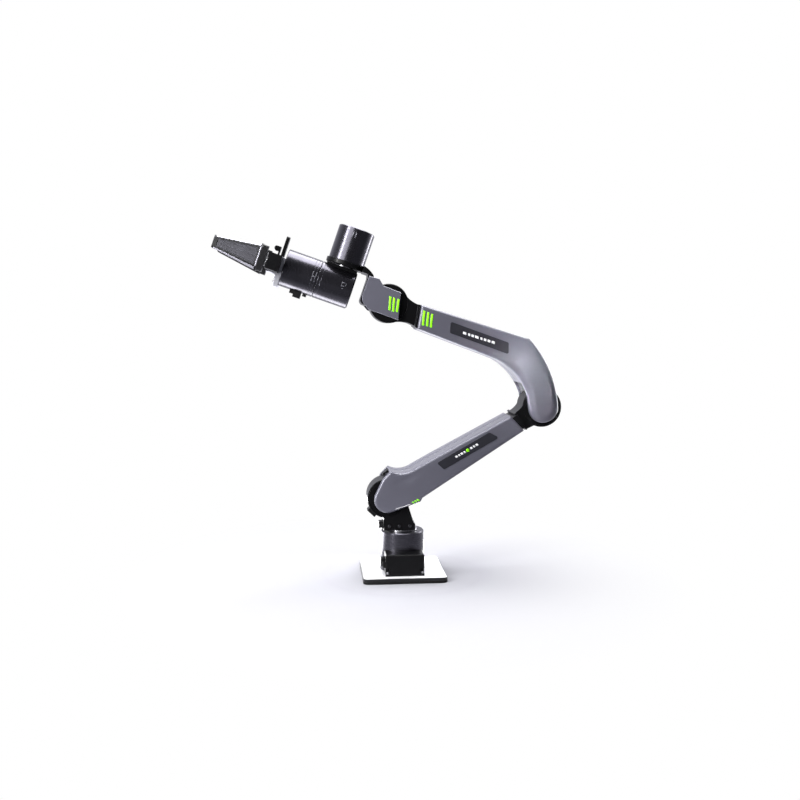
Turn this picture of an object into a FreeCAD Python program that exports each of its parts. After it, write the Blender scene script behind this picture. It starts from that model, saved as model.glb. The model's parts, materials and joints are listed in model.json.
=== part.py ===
import FreeCAD, Part
import math
import os

# Desktop robot arm, six revolute joints and a two-jaw gripper, in millimetres and degrees.
# Row frame: origin at the middle of the base pad's underside, on the base axis; +X is forward,
# +Z is up and +Y is the arm's left side, called the near side here.
# Each link is drawn in a frame of its own (x forward, z up, origin on a joint axis) and then placed.

V = FreeCAD.Vector

# Kinematic dimensions
SHOULDER_X = 24.0
SHOULDER_Z = 119.0
UPPER_LENGTH = 271.0
UPPER_TILT = 30.1
FORE_LENGTH = 270.0
FORE_DROP = 71.0
WRIST_TILT = 19.1
YAW_AXIS_X = 78.4

# Joint modules that turn about a sideways axis: shoulder, elbow and wrist pitch
RING_R = 30.0
WRIST_RING_R = 29.0
RING_HALF = 20.0
MOTOR_R = 27.4
MOTOR_WALL = 2.5
HUB_R = 16.0
SHAFT_R = 7.5
SIDE_GAP = 0.5
RUN_GAP = 0.4
CASE_BORE = 10.0
CASE_CHAMFER = 0.8
STATOR_HALF = 9.0
STATOR_BORE = 13.5
DRUM_R = 13.0
DRUM_HALF = 8.0

# Arm covers and the frame inside them
SHELL_HALF = 31.0
WALL = 3.0
CHEEK_IN = SHELL_HALF - WALL
FRAME_IN = 24.2
TUBE_WALL = 3.0
ROOT_LAP = 6.0
UPPER_TUBE_FRONT = -64.0
UPPER_TUBE_V = 10.0
FORE_TUBE_REAR = -190.0
FORE_TUBE_LOW = -15.0
FORE_TUBE_TOP = 9.0

# Upper arm outline, in its own frame
END_R = 20.5
UPPER_END_TOP = (-222.0, 14.2)
UPPER_END_LOW = (-229.0, -15.3)
UPPER_SLEEVE_IN = -205.0
UPPER_SLEEVE_OUT = -231.5
UPPER_MOUTH_TOP = -23.0
UPPER_MOUTH_LOW = -47.5
EDGE_ROUND = 3.5

# Forearm outline, in the wrist's frame
ELBOW = (-FORE_LENGTH, -FORE_DROP)
FORE_END_R = 22.9
FORE_FRONT_TOP = (-45.4, 13.8)
FORE_FRONT_LOW = (-51.0, -22.2)
FORE_SLEEVE_IN = -68.0

# Name panels
LABEL_THICK = 0.5
LABEL_CORNER = 2.4

# M3 button screws, with the thread's core as the shank
SCREW_R = 1.4
SCREW_HEAD_R = 2.6
SCREW_HEAD_H = 1.6
COVER_SCREW_LONG = 5.5
YOKE_SCREW_LONG = 4.0
UPPER_SCREWS = ((-70.0, 6.0), (-70.0, -6.0), (-196.0, 5.0), (-196.0, -5.0))
FORE_SCREWS = ((-80.0, 4.0), (-80.0, -9.0), (-184.0, 4.0), (-184.0, -9.0))

# Base
BASE_SIDE = 125.0
BASE_CORNER = 8.0
PAD_THICK = 3.4
PLATE_TOP = 8.0
BASE_R = 32.7
BASE_TOP = 67.7
BASE_WALL = 3.0
BASE_FOOT_R = BASE_R + 1.3
BASE_FOOT_TOP = PLATE_TOP + 5.0
BASE_STATOR_LOW = 24.0
BASE_STATOR_TOP = 48.0
BASE_DRUM_R = 15.0
BASE_DRUM_LOW = 22.0
BASE_DRUM_TOP = 52.0
PAD_HOLE_R = 4.0
BLIND_LEFT = 1.2
BASE_BOLT_SPACING = 90.0
BASE_BOLT_R = 2.5
HOUSING_HALF = 28.8
HOUSING_FRONT = 50.0
HOUSING_TOP = 40.0
HOUSING_WALL = 2.4
HOUSING_SCREW_R = 1.2
HOUSING_SCREW_IN = 3.2
LUG_HALF = 4.2
LUG_TALL = 13.0
NOTCH_HALF = 3.4
NOTCH_FLOOR = PLATE_TOP + 3.0
NOTCH_TOP = PLATE_TOP + 12.0
BEARING_R = 24.0
BEARING_BORE = 18.0
BEARING_FIT = 0.05
BEARING_LOW = BASE_TOP - 9.0
BEARING_TOP = BASE_TOP - 0.6

# Turret
FOOT_LOW = 70.2
FOOT_FRONT = 29.6
FOOT_REAR = -18.0
FLANGE_LOW = BASE_TOP + 0.6
FLANGE_R = 23.0
CABLE_WAY_R = 6.0
YOKE_SCREW_X = (21.0, 6.0, -10.0)
YOKE_SCREW_Z = 76.8

# Wrist and gripper
PLATE_IN = 24.5
PLATE_OUT = 28.0
YAW_MOTOR_R = 27.2
YAW_MOTOR_LOW = 33.2
YAW_MOTOR_TOP = 87.5
YAW_DRUM_Z = 55.0
YAW_BORE = 14.0
CUP_R = 29.5
CUP_LOW = 30.2
SADDLE_TOP = 29.0
ROLL_R = 28.0
ROLL_REAR = 57.0
ROLL_FRONT = 110.7
ROLL_DRUM_X = 85.0
GRIP_REAR = 111.3
GRIP_FRONT = 162.5
GRIP_DRUM_X = 139.0
BEAM_REAR = 167.0
BEAM_FRONT = 186.0
BEAM_HALF = 52.0
BEAM_V = 12.0
BEAM_WALL = 2.0
END_WALL = 2.5
RAIL_REAR = 182.4
RAIL_FRONT = 186.4
RAIL_V = 3.5
MOUNT_SCREWS = ((-16.0, -25.0), (-16.0, -19.5), (16.0, -25.0), (16.0, -19.5))
MOUNT_SCREW_HEAD_R = 2.2
MOUNT_SCREW_R = 1.3
PINION_MODULE = 0.75
PINION_TEETH = 16
PINION_R = PINION_MODULE * PINION_TEETH / 2
RACK_PHASE = math.pi * PINION_MODULE / 2
GEAR_REAR = 172.0
GEAR_FRONT = 180.0
GEAR_INSET = 0.3
PINION_SHAFT_R = 4.6
RACK_BACK = 9.4
CARRIAGE_REAR = GEAR_FRONT
CARRIAGE_FRONT = 189.0
CARRIAGE_IN = 37.0
CARRIAGE_OUT = 49.0
BACKLASH = 0.16
PRESSURE_ANGLE = 20.0
CAMERA_POST_REAR = 167.2
CAMERA_POST_FRONT = 172.2
CAMERA_POST_TOP = 44.0
CAMERA_POST_HALF = 9.0
CAMERA_FOOT_THICK = 2.2
STAY_REAR = 175.0
STAY_FRONT = 184.5
STAY_HALF = 7.0
STAY_LOW = 19.6
STAY_TOP = 26.6
CAMERA_HOLES_Z = (28.0, 38.0)
CAMERA_HOLE_R = 1.6
FINGER_IN = 38.0
PAD_IN = 36.0
FINGER_BASE_X = 197.0
FINGER_TIP_X = 266.0


# ---------------------------------------------------------------- basic shapes

def block(x0, x1, y0, y1, z0, z1):
    return Part.makeBox(x1 - x0, y1 - y0, z1 - z0, V(x0, y0, z0))


def rod_x(radius, x0, x1, y=0.0, z=0.0):
    return Part.makeCylinder(radius, x1 - x0, V(x0, y, z), V(1, 0, 0))


def rod_y(radius, y0, y1, x=0.0, z=0.0):
    return Part.makeCylinder(radius, y1 - y0, V(x, y0, z), V(0, 1, 0))


def rod_z(radius, z0, z1, x=0.0, y=0.0):
    return Part.makeCylinder(radius, z1 - z0, V(x, y, z0), V(0, 0, 1))


def closed_wire(*steps):
    """Closed wire in the XZ plane; a step is (x, z) for a line, (x, z, via_x, via_z) for an arc."""
    edges = []
    here = V(steps[0][0], 0, steps[0][1])
    for step in steps[1:] + steps[:1]:
        there = V(step[0], 0, step[1])
        if len(step) == 4:
            edges.append(Part.Arc(here, V(step[2], 0, step[3]), there).toShape())
        else:
            edges.append(Part.LineSegment(here, there).toShape())
        here = there
    return Part.Wire(edges)


def slab(wire, y0, y1):
    """Solid between two planes of constant Y, from a wire drawn in the XZ plane."""
    solid = Part.Face(wire).extrude(V(0, y1 - y0, 0))
    solid.translate(V(0, y0, 0))
    return solid


def fuse(first, *others):
    return first.fuse(list(others)).removeSplitter()


def mirrored(shape):
    """The same shape on the far side."""
    return shape.mirror(V(0, 0, 0), V(0, 1, 0))


def tangent_point(x, z, radius, side):
    """Where a line from (x, z) touches a circle about the origin; side is +1 or -1."""
    reach = math.hypot(x, z)
    angle = math.atan2(z, x) + side * math.acos(radius / reach)
    return radius * math.cos(angle), radius * math.sin(angle)


def edges_at(solid, axis, value):
    """Edges that lie wholly in the plane where one coordinate has the given value."""
    def inside(edge):
        box = edge.BoundBox
        low = {"y": box.YMin, "z": box.ZMin, "x": box.XMin}[axis]
        high = {"y": box.YMax, "z": box.ZMax, "x": box.XMax}[axis]
        return abs(low - value) < 1e-4 and abs(high - value) < 1e-4
    return [edge for edge in solid.Edges if inside(edge)]


def in_upper(shape):
    """From the upper arm's frame, origin on the shoulder axis, to the row frame."""
    moved = shape.copy()
    moved.rotate(V(0, 0, 0), V(0, 1, 0), UPPER_TILT)
    moved.translate(V(SHOULDER_X, 0, SHOULDER_Z))
    return moved


def wrist_origin():
    up = math.radians(UPPER_TILT)
    turn = math.radians(WRIST_TILT)
    elbow_x = SHOULDER_X - UPPER_LENGTH * math.cos(up)
    elbow_z = SHOULDER_Z + UPPER_LENGTH * math.sin(up)
    wrist_x = elbow_x + FORE_LENGTH * math.cos(turn) - FORE_DROP * math.sin(turn)
    wrist_z = elbow_z + FORE_LENGTH * math.sin(turn) + FORE_DROP * math.cos(turn)
    return V(wrist_x, 0, wrist_z)


def in_wrist(shape):
    """From the forearm's frame, origin on the wrist pitch axis, to the row frame."""
    moved = shape.copy()
    moved.rotate(V(0, 0, 0), V(0, 1, 0), -WRIST_TILT)
    moved.translate(wrist_origin())
    return moved


def screw_y(x, z, y, side, shank):
    """Button screw whose head stands on the plane Y = y and faces the given side."""
    head = rod_y(SCREW_HEAD_R, 0, SCREW_HEAD_H)
    head = head.makeFillet(SCREW_HEAD_H * 0.55, edges_at(head, "y", SCREW_HEAD_H))
    socket = rod_y(SCREW_HEAD_R * 0.42, SCREW_HEAD_H * 0.4, SCREW_HEAD_H + 1)
    screw = head.cut(socket).fuse(rod_y(SCREW_R, -shank, 0))
    screw.translate(V(x, y, z))
    if side < 0:
        screw = mirrored(screw)
    return screw


# ---------------------------------------------------------------- joint modules

def motor_case():
    """Round motor case about the Y axis, closed by two faces with a hole for the shaft."""
    half = RING_HALF
    case = rod_y(MOTOR_R, -half, half)
    case = case.makeChamfer(CASE_CHAMFER, edges_at(case, "y", half) + edges_at(case, "y", -half))
    hollow = rod_y(MOTOR_R - MOTOR_WALL, -half + MOTOR_WALL, half - MOTOR_WALL)
    return case.cut(hollow).cut(rod_y(CASE_BORE, -half - 1, half + 1))


def motor_stator():
    """Wound ring that fills the case from the wall inwards."""
    ring = rod_y(MOTOR_R - MOTOR_WALL, -STATOR_HALF, STATOR_HALF)
    return ring.cut(rod_y(STATOR_BORE, -STATOR_HALF - 1, STATOR_HALF + 1))


def motor_rotor(hub_out):
    """Hollow shaft with the magnet drum in the middle and an output hub on each side."""
    rotor = rod_y(SHAFT_R, -hub_out, hub_out)
    drum = rod_y(DRUM_R, -DRUM_HALF, DRUM_HALF)
    hub = rod_y(HUB_R, RING_HALF + SIDE_GAP, hub_out)
    rotor = fuse(rotor, drum, hub, mirrored(hub))
    return rotor.cut(rod_y(SHAFT_R - 3, -hub_out - 1, hub_out + 1))


def ring(radius):
    """Clamp ring that holds a motor case."""
    body = rod_y(radius, -RING_HALF, RING_HALF)
    body = body.makeChamfer(1.0, edges_at(body, "y", RING_HALF) + edges_at(body, "y", -RING_HALF))
    return body


def bored(shape, x=0.0, z=0.0):
    """Cut the motor's seat out of a bracket."""
    return shape.cut(rod_y(MOTOR_R, -RING_HALF - 1, RING_HALF + 1, x, z))


# ---------------------------------------------------------------- base

def rounded_plate(half, radius, z0, z1):
    plate = block(-half, half, -half, half, z0, z1)
    corners = [edge for edge in plate.Edges if edge.BoundBox.ZLength > (z1 - z0) * 0.9]
    return plate.makeFillet(radius, corners)


def base_bolt_centres():
    half = BASE_BOLT_SPACING / 2
    return [(x, y) for x in (-half, half) for y in (-half, half)]


def base_pad():
    pad = rounded_plate(BASE_SIDE / 2, BASE_CORNER, 0, PAD_THICK)
    pad = pad.makeChamfer(0.5, edges_at(pad, "z", 0) + edges_at(pad, "z", PAD_THICK))
    for x, y in base_bolt_centres():
        pad = pad.cut(rod_z(PAD_HOLE_R, -1, PAD_THICK + 1, x, y))
    return pad


def base_plate():
    plate = rounded_plate(BASE_SIDE / 2, BASE_CORNER, PAD_THICK, PLATE_TOP)
    plate = plate.makeChamfer(0.5, edges_at(plate, "z", PLATE_TOP) + edges_at(plate, "z", PAD_THICK))
    for x, y in base_bolt_centres():
        plate = plate.cut(rod_z(BASE_BOLT_R, PAD_THICK - 1, PLATE_TOP - BLIND_LEFT, x, y))
    return plate


def base_motor_case():
    case = rod_z(BASE_R, PLATE_TOP, BASE_TOP)
    case = case.makeChamfer(1.4, edges_at(case, "z", BASE_TOP))
    foot = rod_z(BASE_FOOT_R, PLATE_TOP, BASE_FOOT_TOP)
    foot = foot.makeChamfer(1.2, edges_at(foot, "z", BASE_FOOT_TOP))
    case = case.fuse(foot).removeSplitter()
    hollow = rod_z(BASE_R - BASE_WALL, PLATE_TOP + BASE_WALL + 1, BEARING_LOW)
    seat = rod_z(BEARING_R, BEARING_LOW - 1, BASE_TOP + 1)
    return case.cut(hollow).cut(seat)


def base_stator():
    bore = rod_z(BASE_DRUM_R + SIDE_GAP, BASE_STATOR_LOW - 1, BASE_STATOR_TOP + 1)
    return rod_z(BASE_R - BASE_WALL, BASE_STATOR_LOW, BASE_STATOR_TOP).cut(bore)


def base_bearing():
    outer = rod_z(BEARING_R, BEARING_LOW, BEARING_TOP)
    return outer.cut(rod_z(BEARING_BORE, BEARING_LOW - 1, BASE_TOP))


def housing_screw_centres():
    y = HOUSING_FRONT - HOUSING_SCREW_IN
    return [(side * (HOUSING_HALF - HOUSING_SCREW_IN), y) for side in (-1, 1)]


def base_housing():
    """Connector housing on the near side, hollow, with a cut-out at each bottom front corner."""
    body = block(-HOUSING_HALF, HOUSING_HALF, 0, HOUSING_FRONT, PLATE_TOP, HOUSING_TOP)
    upright = [e for e in body.Edges if e.BoundBox.ZLength > 20 and e.BoundBox.YMin > 1]
    body = body.makeFillet(2.0, upright)
    body = body.makeChamfer(1.2, edges_at(body, "z", HOUSING_TOP))
    inner_half = HOUSING_HALF - HOUSING_WALL
    body = body.cut(block(-inner_half, inner_half, 1, HOUSING_FRONT - HOUSING_WALL,
                          PLATE_TOP, HOUSING_TOP - HOUSING_WALL))
    for side in (-1, 1):
        lug = block(-LUG_HALF, LUG_HALF, -LUG_HALF, LUG_HALF, PLATE_TOP, PLATE_TOP + LUG_TALL)
        lug.translate(V(side * (HOUSING_HALF - LUG_HALF), HOUSING_FRONT - LUG_HALF, 0))
        body = body.fuse(lug)
        notch = block(-NOTCH_HALF, NOTCH_HALF, -NOTCH_HALF, NOTCH_HALF, NOTCH_FLOOR, NOTCH_TOP)
        notch.translate(V(side * inner_half, HOUSING_FRONT - HOUSING_WALL, 0))
        body = body.cut(notch)
    for x, y in housing_screw_centres():
        body = body.cut(rod_z(HOUSING_SCREW_R, PLATE_TOP - 1, PLATE_TOP + 4, x, y))
    body = body.cut(rod_z(BASE_FOOT_R, PLATE_TOP - 1, BASE_FOOT_TOP))
    return body.cut(rod_z(BASE_R, PLATE_TOP - 1, HOUSING_TOP + 1)).removeSplitter()


def side_socket(depth, y0, y1, z0, z1, rim):
    """Box on the housing's forward side, hollow behind its rim."""
    box = block(HOUSING_HALF, HOUSING_HALF + depth, y0, y1, z0, z1)
    return box.cut(block(HOUSING_HALF + rim, HOUSING_HALF + depth + 1,
                         y0 + rim, y1 - rim, z0 + rim, z1 - rim))


def base_connectors():
    """Power and data sockets."""
    power = side_socket(6.0, 24.0, 35.0, 20.0, 32.0, 2.0)
    data = side_socket(4.0, 37.0, 46.0, 20.0, 28.0, 1.5)
    return Part.makeCompound([power, data])


def base_screws():
    """Two housing screws in the corner cut-outs, with cap heads."""
    screws = []
    for x, y in housing_screw_centres():
        head = rod_z(1.9, NOTCH_FLOOR, NOTCH_FLOOR + 3, x, y)
        shank = rod_z(HOUSING_SCREW_R, PLATE_TOP, NOTCH_FLOOR, x, y)
        socket = rod_z(0.9, NOTCH_FLOOR + 1.4, NOTCH_FLOOR + 4, x, y)
        screws.append(head.fuse(shank).cut(socket))
    return screws


# ---------------------------------------------------------------- turret

def turret_rotor():
    """Output hub of the base motor: drum, bearing journal and the flange under the yoke."""
    drum = rod_z(BASE_DRUM_R, BASE_DRUM_LOW, BASE_DRUM_TOP)
    journal = rod_z(BEARING_BORE - BEARING_FIT, BASE_DRUM_TOP, FLANGE_LOW)
    flange = rod_z(FLANGE_R, FLANGE_LOW, FOOT_LOW)
    rotor = fuse(drum, journal, flange)
    return rotor.cut(rod_z(CABLE_WAY_R, BASE_DRUM_LOW - 1, FOOT_LOW + 1))


def shoulder_yoke():
    neck = closed_wire((FOOT_FRONT, FOOT_LOW), (FOOT_FRONT, SHOULDER_Z - 18), (SHOULDER_X, SHOULDER_Z),
                       (-6.5, SHOULDER_Z - 8), (-15.6, 82.0), (FOOT_REAR, 80.0), (FOOT_REAR, FOOT_LOW))
    body = ring(RING_R)
    body.translate(V(SHOULDER_X, 0, SHOULDER_Z))
    body = fuse(body, slab(neck, -RING_HALF, RING_HALF))
    body = bored(body, SHOULDER_X, SHOULDER_Z)
    for x in YOKE_SCREW_X:
        for side in (-1, 1):
            hole = rod_y(SCREW_R, RING_HALF - YOKE_SCREW_LONG, RING_HALF + 1, x, YOKE_SCREW_Z)
            body = body.cut(hole if side > 0 else mirrored(hole))
    return body.cut(rod_z(CABLE_WAY_R, FOOT_LOW - 1, FOOT_LOW + 8))


def yoke_screws():
    return [screw_y(x, YOKE_SCREW_Z, RING_HALF, side, YOKE_SCREW_LONG)
            for side in (-1, 1) for x in YOKE_SCREW_X]


def shoulder_connector():
    """Plug housing that stands out of the shoulder ring, forwards and down."""
    plug = block(RING_R - 0.6, RING_R + 5.0, -8, 8, -7.5, 7.5)
    plug = plug.cut(block(RING_R + 2.4, RING_R + 6, -5.5, 5.5, -5, 5))
    plug = plug.cut(rod_y(RING_R, -9, 9))
    plug.rotate(V(0, 0, 0), V(0, 1, 0), 46.0)
    plug.translate(V(SHOULDER_X, 0, SHOULDER_Z))
    return plug


def turret_socket():
    """Small cable socket on an angle plate ahead of the yoke's foot."""
    angle = block(FOOT_FRONT, FOOT_FRONT + 1.6, -9, 9, FOOT_LOW, 83.0)
    socket = block(FOOT_FRONT + 1.6, FOOT_FRONT + 6.4, -6, 6, 71.6, 81.2)
    return angle.fuse(socket).removeSplitter()


# ---------------------------------------------------------------- upper arm (frame: shoulder axis)

def upper_outline():
    brow = (-9.0, 30.8)
    chin = (-40.5, -28.3)
    top = tangent_point(brow[0], brow[1], END_R, -1)
    low = tangent_point(chin[0], chin[1], END_R, 1)
    return closed_wire(UPPER_END_TOP, (-92.0, 18.9), (-56.0, 19.6), (-25.0, 35.2, -38.0, 23.4), brow,
                       top, (low[0], low[1], END_R, 0.0), chin, (-46.0, -24.8), UPPER_END_LOW)


def cover_half(outline, cavity, openings):
    """Near half of a hollow arm cover: a cheek with a rim that reaches the middle plane."""
    cover = slab(outline, 0, SHELL_HALF)
    cover = cover.makeFillet(EDGE_ROUND, edges_at(cover, "y", SHELL_HALF))
    cover = cover.cut(cavity)
    for opening in openings:
        cover = cover.cut(opening)
    return cover.removeSplitter()


def cavity_of(outline):
    """Room inside a cover, one wall thickness in from its outline."""
    inner = Part.Face(outline).makeOffset2D(-WALL)
    room = inner.extrude(V(0, CHEEK_IN + 1, 0))
    room.translate(V(0, -1, 0))
    return room


def upper_cover():
    outline = upper_outline()
    shoulder_mouth = closed_wire((UPPER_MOUTH_TOP, 60), (60, 60), (60, -60), (UPPER_MOUTH_LOW, -60),
                                 (UPPER_MOUTH_LOW, -5), (UPPER_MOUTH_TOP, 5))
    sleeve_mouth = closed_wire((-240, 10.4), (-215, 11.2), (-215, -12.4), (-240, -11.9))
    openings = [slab(shoulder_mouth, -1, CHEEK_IN), slab(sleeve_mouth, -1, CHEEK_IN)]
    return cover_half(outline, cavity_of(outline), openings)


def fork_plate(outline):
    """Structural side plate between the output hub and the cover's cheek."""
    return slab(outline, FRAME_IN, CHEEK_IN)


def box_tube(x0, x1, z0, z1):
    """Rectangular tube along the arm, as wide as the covers' room, open at both ends."""
    wide = CHEEK_IN - TUBE_WALL
    tube = block(x0, x1, -CHEEK_IN, CHEEK_IN, z0, z1)
    return tube.cut(block(x0 - 1, x1 + 1, -wide, wide, z0 + TUBE_WALL, z1 - TUBE_WALL))


def upper_frame():
    """Box tube with a two-plate fork that carries the shoulder's output hubs."""
    fork = closed_wire((UPPER_TUBE_FRONT + 2, 11.0), (-14, 11.6), (-14, -11.6, 18.0, 0.0),
                       (UPPER_TUBE_FRONT + 2, -11.0))
    tube = box_tube(UPPER_SLEEVE_IN, UPPER_TUBE_FRONT, -UPPER_TUBE_V, UPPER_TUBE_V)
    root = block(UPPER_TUBE_FRONT - ROOT_LAP, UPPER_TUBE_FRONT + 4, FRAME_IN - 2, CHEEK_IN,
                 -UPPER_TUBE_V, UPPER_TUBE_V)
    near = fork_plate(fork).fuse(root)
    return fuse(tube, near, mirrored(near))


def elbow_bracket():
    """Black casting at the elbow end: sleeve in the covers, neck and the elbow motor's ring."""
    centre = -UPPER_LENGTH
    sleeve = closed_wire((UPPER_SLEEVE_OUT, 10.3), (UPPER_SLEEVE_IN, 11.3), (UPPER_SLEEVE_IN, -12.7),
                         (UPPER_SLEEVE_OUT, -11.8))
    flange = closed_wire((-231.5, 14.2), (-228.5, 14.2), (-231.9, -15.6), (-234.0, -16.8))
    neck = closed_wire((-229.5, 13.8), (centre + 14, 26.5, -245.0, 16.6), (centre, 0),
                       (centre + 11, -27.9), (-247.5, -18.0, centre + 18, -20.6), (-231.5, -16.6))
    body = ring(RING_R)
    body.translate(V(centre, 0, 0))
    body = fuse(body, slab(neck, -RING_HALF, RING_HALF), slab(sleeve, -CHEEK_IN, CHEEK_IN),
                slab(flange, -CHEEK_IN + 1, CHEEK_IN - 1))
    room = block(-226.0, UPPER_SLEEVE_IN + 1, -CHEEK_IN + 3, CHEEK_IN - 3, -8, 7.5)
    return bored(body.cut(room), centre)


def label_panel(corners, y):
    """Thin name panel with rounded corners, set on the near cheek."""
    panel = slab(closed_wire(*corners), y, y + LABEL_THICK)
    across = [edge for edge in panel.Edges if edge.BoundBox.YLength > LABEL_THICK * 0.9]
    return panel.makeFillet(LABEL_CORNER, across)


def upper_label():
    return label_panel(((-90.5, 10.6), (-181.5, 10.2), (-190.5, -4.2), (-95.0, -3.4)), SHELL_HALF)


def cover_screws(places):
    """Screws through the far cheek into the frame."""
    return [screw_y(x, z, SHELL_HALF, -1, shank=COVER_SCREW_LONG) for x, z in places]


def drilled(shape, places):
    """The cover screws' holes, in the far cheek or in the frame behind it."""
    for x, z in places:
        shape = shape.cut(rod_y(SCREW_R, -SHELL_HALF - 1, -SHELL_HALF + COVER_SCREW_LONG, x, z))
    return shape


def cable_clip():
    """Hook-shaped clip on the rim over the shoulder."""
    hook = closed_wire((-23.0, 35.2), (-12.5, 34.2), (-10.8, 32.6), (-12.3, 31.3), (-19.0, 31.8),
                       (-23.0, 29.8))
    return slab(hook, -7, 7)


# ---------------------------------------------------------------- forearm (frame: wrist pitch axis)

def fore_outline():
    heel = (-240.0, -62.0)
    turn = math.radians(160.0)
    side = tangent_point(heel[0] - ELBOW[0], heel[1] - ELBOW[1], FORE_END_R, -1)
    end_low = (ELBOW[0] + side[0], ELBOW[1] + side[1])
    end_top = (ELBOW[0] + FORE_END_R * math.cos(turn), ELBOW[1] + FORE_END_R * math.sin(turn))
    bottom = (ELBOW[0] - 8.0, ELBOW[1] - math.sqrt(FORE_END_R ** 2 - 64.0))
    return closed_wire(FORE_FRONT_TOP, FORE_FRONT_LOW, (-177.0, -25.6), (heel[0], heel[1], -208.5, -35.6),
                       end_low, (end_top[0], end_top[1], bottom[0], bottom[1]),
                       (-221.3, 16.1, -265.3, -20.3), (-214.5, 19.5), (-208.0, 18.2))


def fore_cover():
    outline = fore_outline()
    elbow_mouth = block(-330, -226, -1, CHEEK_IN, -130, -37)
    sleeve_mouth = closed_wire((-30, 10.4), (-60, 10.8), (-60, -19.2), (-30, -18.4))
    return cover_half(outline, cavity_of(outline), [elbow_mouth, slab(sleeve_mouth, -1, CHEEK_IN)])


def fore_frame():
    """Box tube with a curved two-plate fork down to the elbow's output hubs."""
    fork = closed_wire((-180, 12.0), (-215, 10.5), (ELBOW[0] - 15, ELBOW[1] + 12, -262.0, -26.0),
                       (ELBOW[0] + 17, ELBOW[1] - 7, ELBOW[0] - 4, ELBOW[1] - 18),
                       (-208, -27, -236, -50.5), (-180, -18))
    tube = box_tube(FORE_TUBE_REAR, FORE_SLEEVE_IN, FORE_TUBE_LOW, FORE_TUBE_TOP)
    root = block(FORE_TUBE_REAR - ROOT_LAP, FORE_TUBE_REAR + 16, FRAME_IN - 2, CHEEK_IN,
                 FORE_TUBE_LOW, FORE_TUBE_TOP)
    near = fork_plate(fork).fuse(root)
    return fuse(tube, near, mirrored(near))


def wrist_bracket():
    """Black casting at the wrist end: sleeve in the covers, neck and the wrist motor's ring."""
    sleeve = closed_wire((-44.0, 10.3), (FORE_SLEEVE_IN, 10.9), (FORE_SLEEVE_IN, -19.3), (-47.0, -18.8))
    flange = closed_wire((-41.2, 12.8), (-44.6, 13.2), (-50.4, -20.8), (-46.6, -19.6))
    neck = closed_wire((-44.0, 12.8), (-12.0, 26.3, -27.0, 16.0), (0, 0), (-12.0, -26.3),
                       (-38.0, -17.6, -24.5, -20.0), (-48.0, -18.8))
    body = ring(WRIST_RING_R)
    body = fuse(body, slab(neck, -RING_HALF, RING_HALF), slab(sleeve, -CHEEK_IN, CHEEK_IN),
                slab(flange, -CHEEK_IN + 1, CHEEK_IN - 1))
    room = block(FORE_SLEEVE_IN - 1, -52, -CHEEK_IN + 3, CHEEK_IN - 3, -15, 7)
    return bored(body.cut(room))


def fore_label():
    return label_panel(((-94.0, 4.4), (-186.5, 3.6), (-192.3, -12.8), (-98.6, -11.8)), SHELL_HALF)


# ---------------------------------------------------------------- wrist pitch link

def wrist_plate():
    outline = closed_wire((40.6, 27.8), (25.6, 29.2), (16.4, 21.4), (-10.8, 20.6), (-20.6, -18.8),
                          (25.2, -18.4), (38.6, -10.4), (41.2, -2.0))
    plate = slab(outline, PLATE_IN, PLATE_OUT)
    return plate.makeChamfer(0.6, edges_at(plate, "y", PLATE_OUT))


def wrist_cradle():
    """Casting between the wrist plates that carries the yaw motor in a round cup."""
    stem = closed_wire((31.6, -14.0), (36.0, -14.0), (42.0, -7.0, 40.0, -12.0), (42.0, 25.0),
                       (43.4, CUP_LOW), (52.0, CUP_LOW), (52.0, 39.5), (34.6, 31.0, 43.4, 36.6),
                       (31.6, 22.0))
    body = slab(stem, -PLATE_IN, PLATE_IN)
    cup = rod_z(CUP_R, CUP_LOW, CUP_LOW + 6.8, YAW_AXIS_X)
    cup = cup.makeFillet(1.4, edges_at(cup, "z", CUP_LOW))
    body = fuse(body, cup)
    body = body.cut(rod_z(YAW_MOTOR_R, YAW_MOTOR_LOW, YAW_MOTOR_LOW + 20, YAW_AXIS_X))
    body = body.cut(rod_z(YAW_BORE, CUP_LOW - 1, YAW_MOTOR_LOW + 1, YAW_AXIS_X))
    ring_room = rod_y(WRIST_RING_R + 1.2, -RING_HALF - 0.6, RING_HALF + 0.6)
    return body.cut(ring_room)


def yaw_motor_case():
    case = rod_z(YAW_MOTOR_R, YAW_MOTOR_LOW, YAW_MOTOR_TOP, YAW_AXIS_X)
    case = case.makeChamfer(1.0, edges_at(case, "z", YAW_MOTOR_TOP))
    hollow = rod_z(YAW_MOTOR_R - MOTOR_WALL, YAW_MOTOR_LOW + 3, YAW_MOTOR_TOP - 3, YAW_AXIS_X)
    hole = rod_z(YAW_BORE, YAW_MOTOR_LOW - 1, YAW_MOTOR_LOW + 4, YAW_AXIS_X)
    return case.cut(hollow).cut(hole)


def yaw_stator():
    ring_r = YAW_MOTOR_R - MOTOR_WALL
    low = YAW_DRUM_Z - STATOR_HALF
    top = YAW_DRUM_Z + STATOR_HALF
    return rod_z(ring_r, low, top, YAW_AXIS_X).cut(rod_z(STATOR_BORE, low - 1, top + 1, YAW_AXIS_X))


def yaw_rotor():
    """Output hub of the yaw motor, standing on the saddle below the cup."""
    neck = rod_z(YAW_BORE - RUN_GAP, SADDLE_TOP, YAW_MOTOR_LOW + 4, YAW_AXIS_X)
    shaft = rod_z(SHAFT_R, YAW_MOTOR_LOW + 4, 76, YAW_AXIS_X)
    drum = rod_z(DRUM_R, YAW_DRUM_Z - DRUM_HALF, YAW_DRUM_Z + DRUM_HALF, YAW_AXIS_X)
    return fuse(neck, shaft, drum).cut(rod_z(4.0, SADDLE_TOP - 1, 77, YAW_AXIS_X))


# ---------------------------------------------------------------- wrist yaw link

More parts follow.
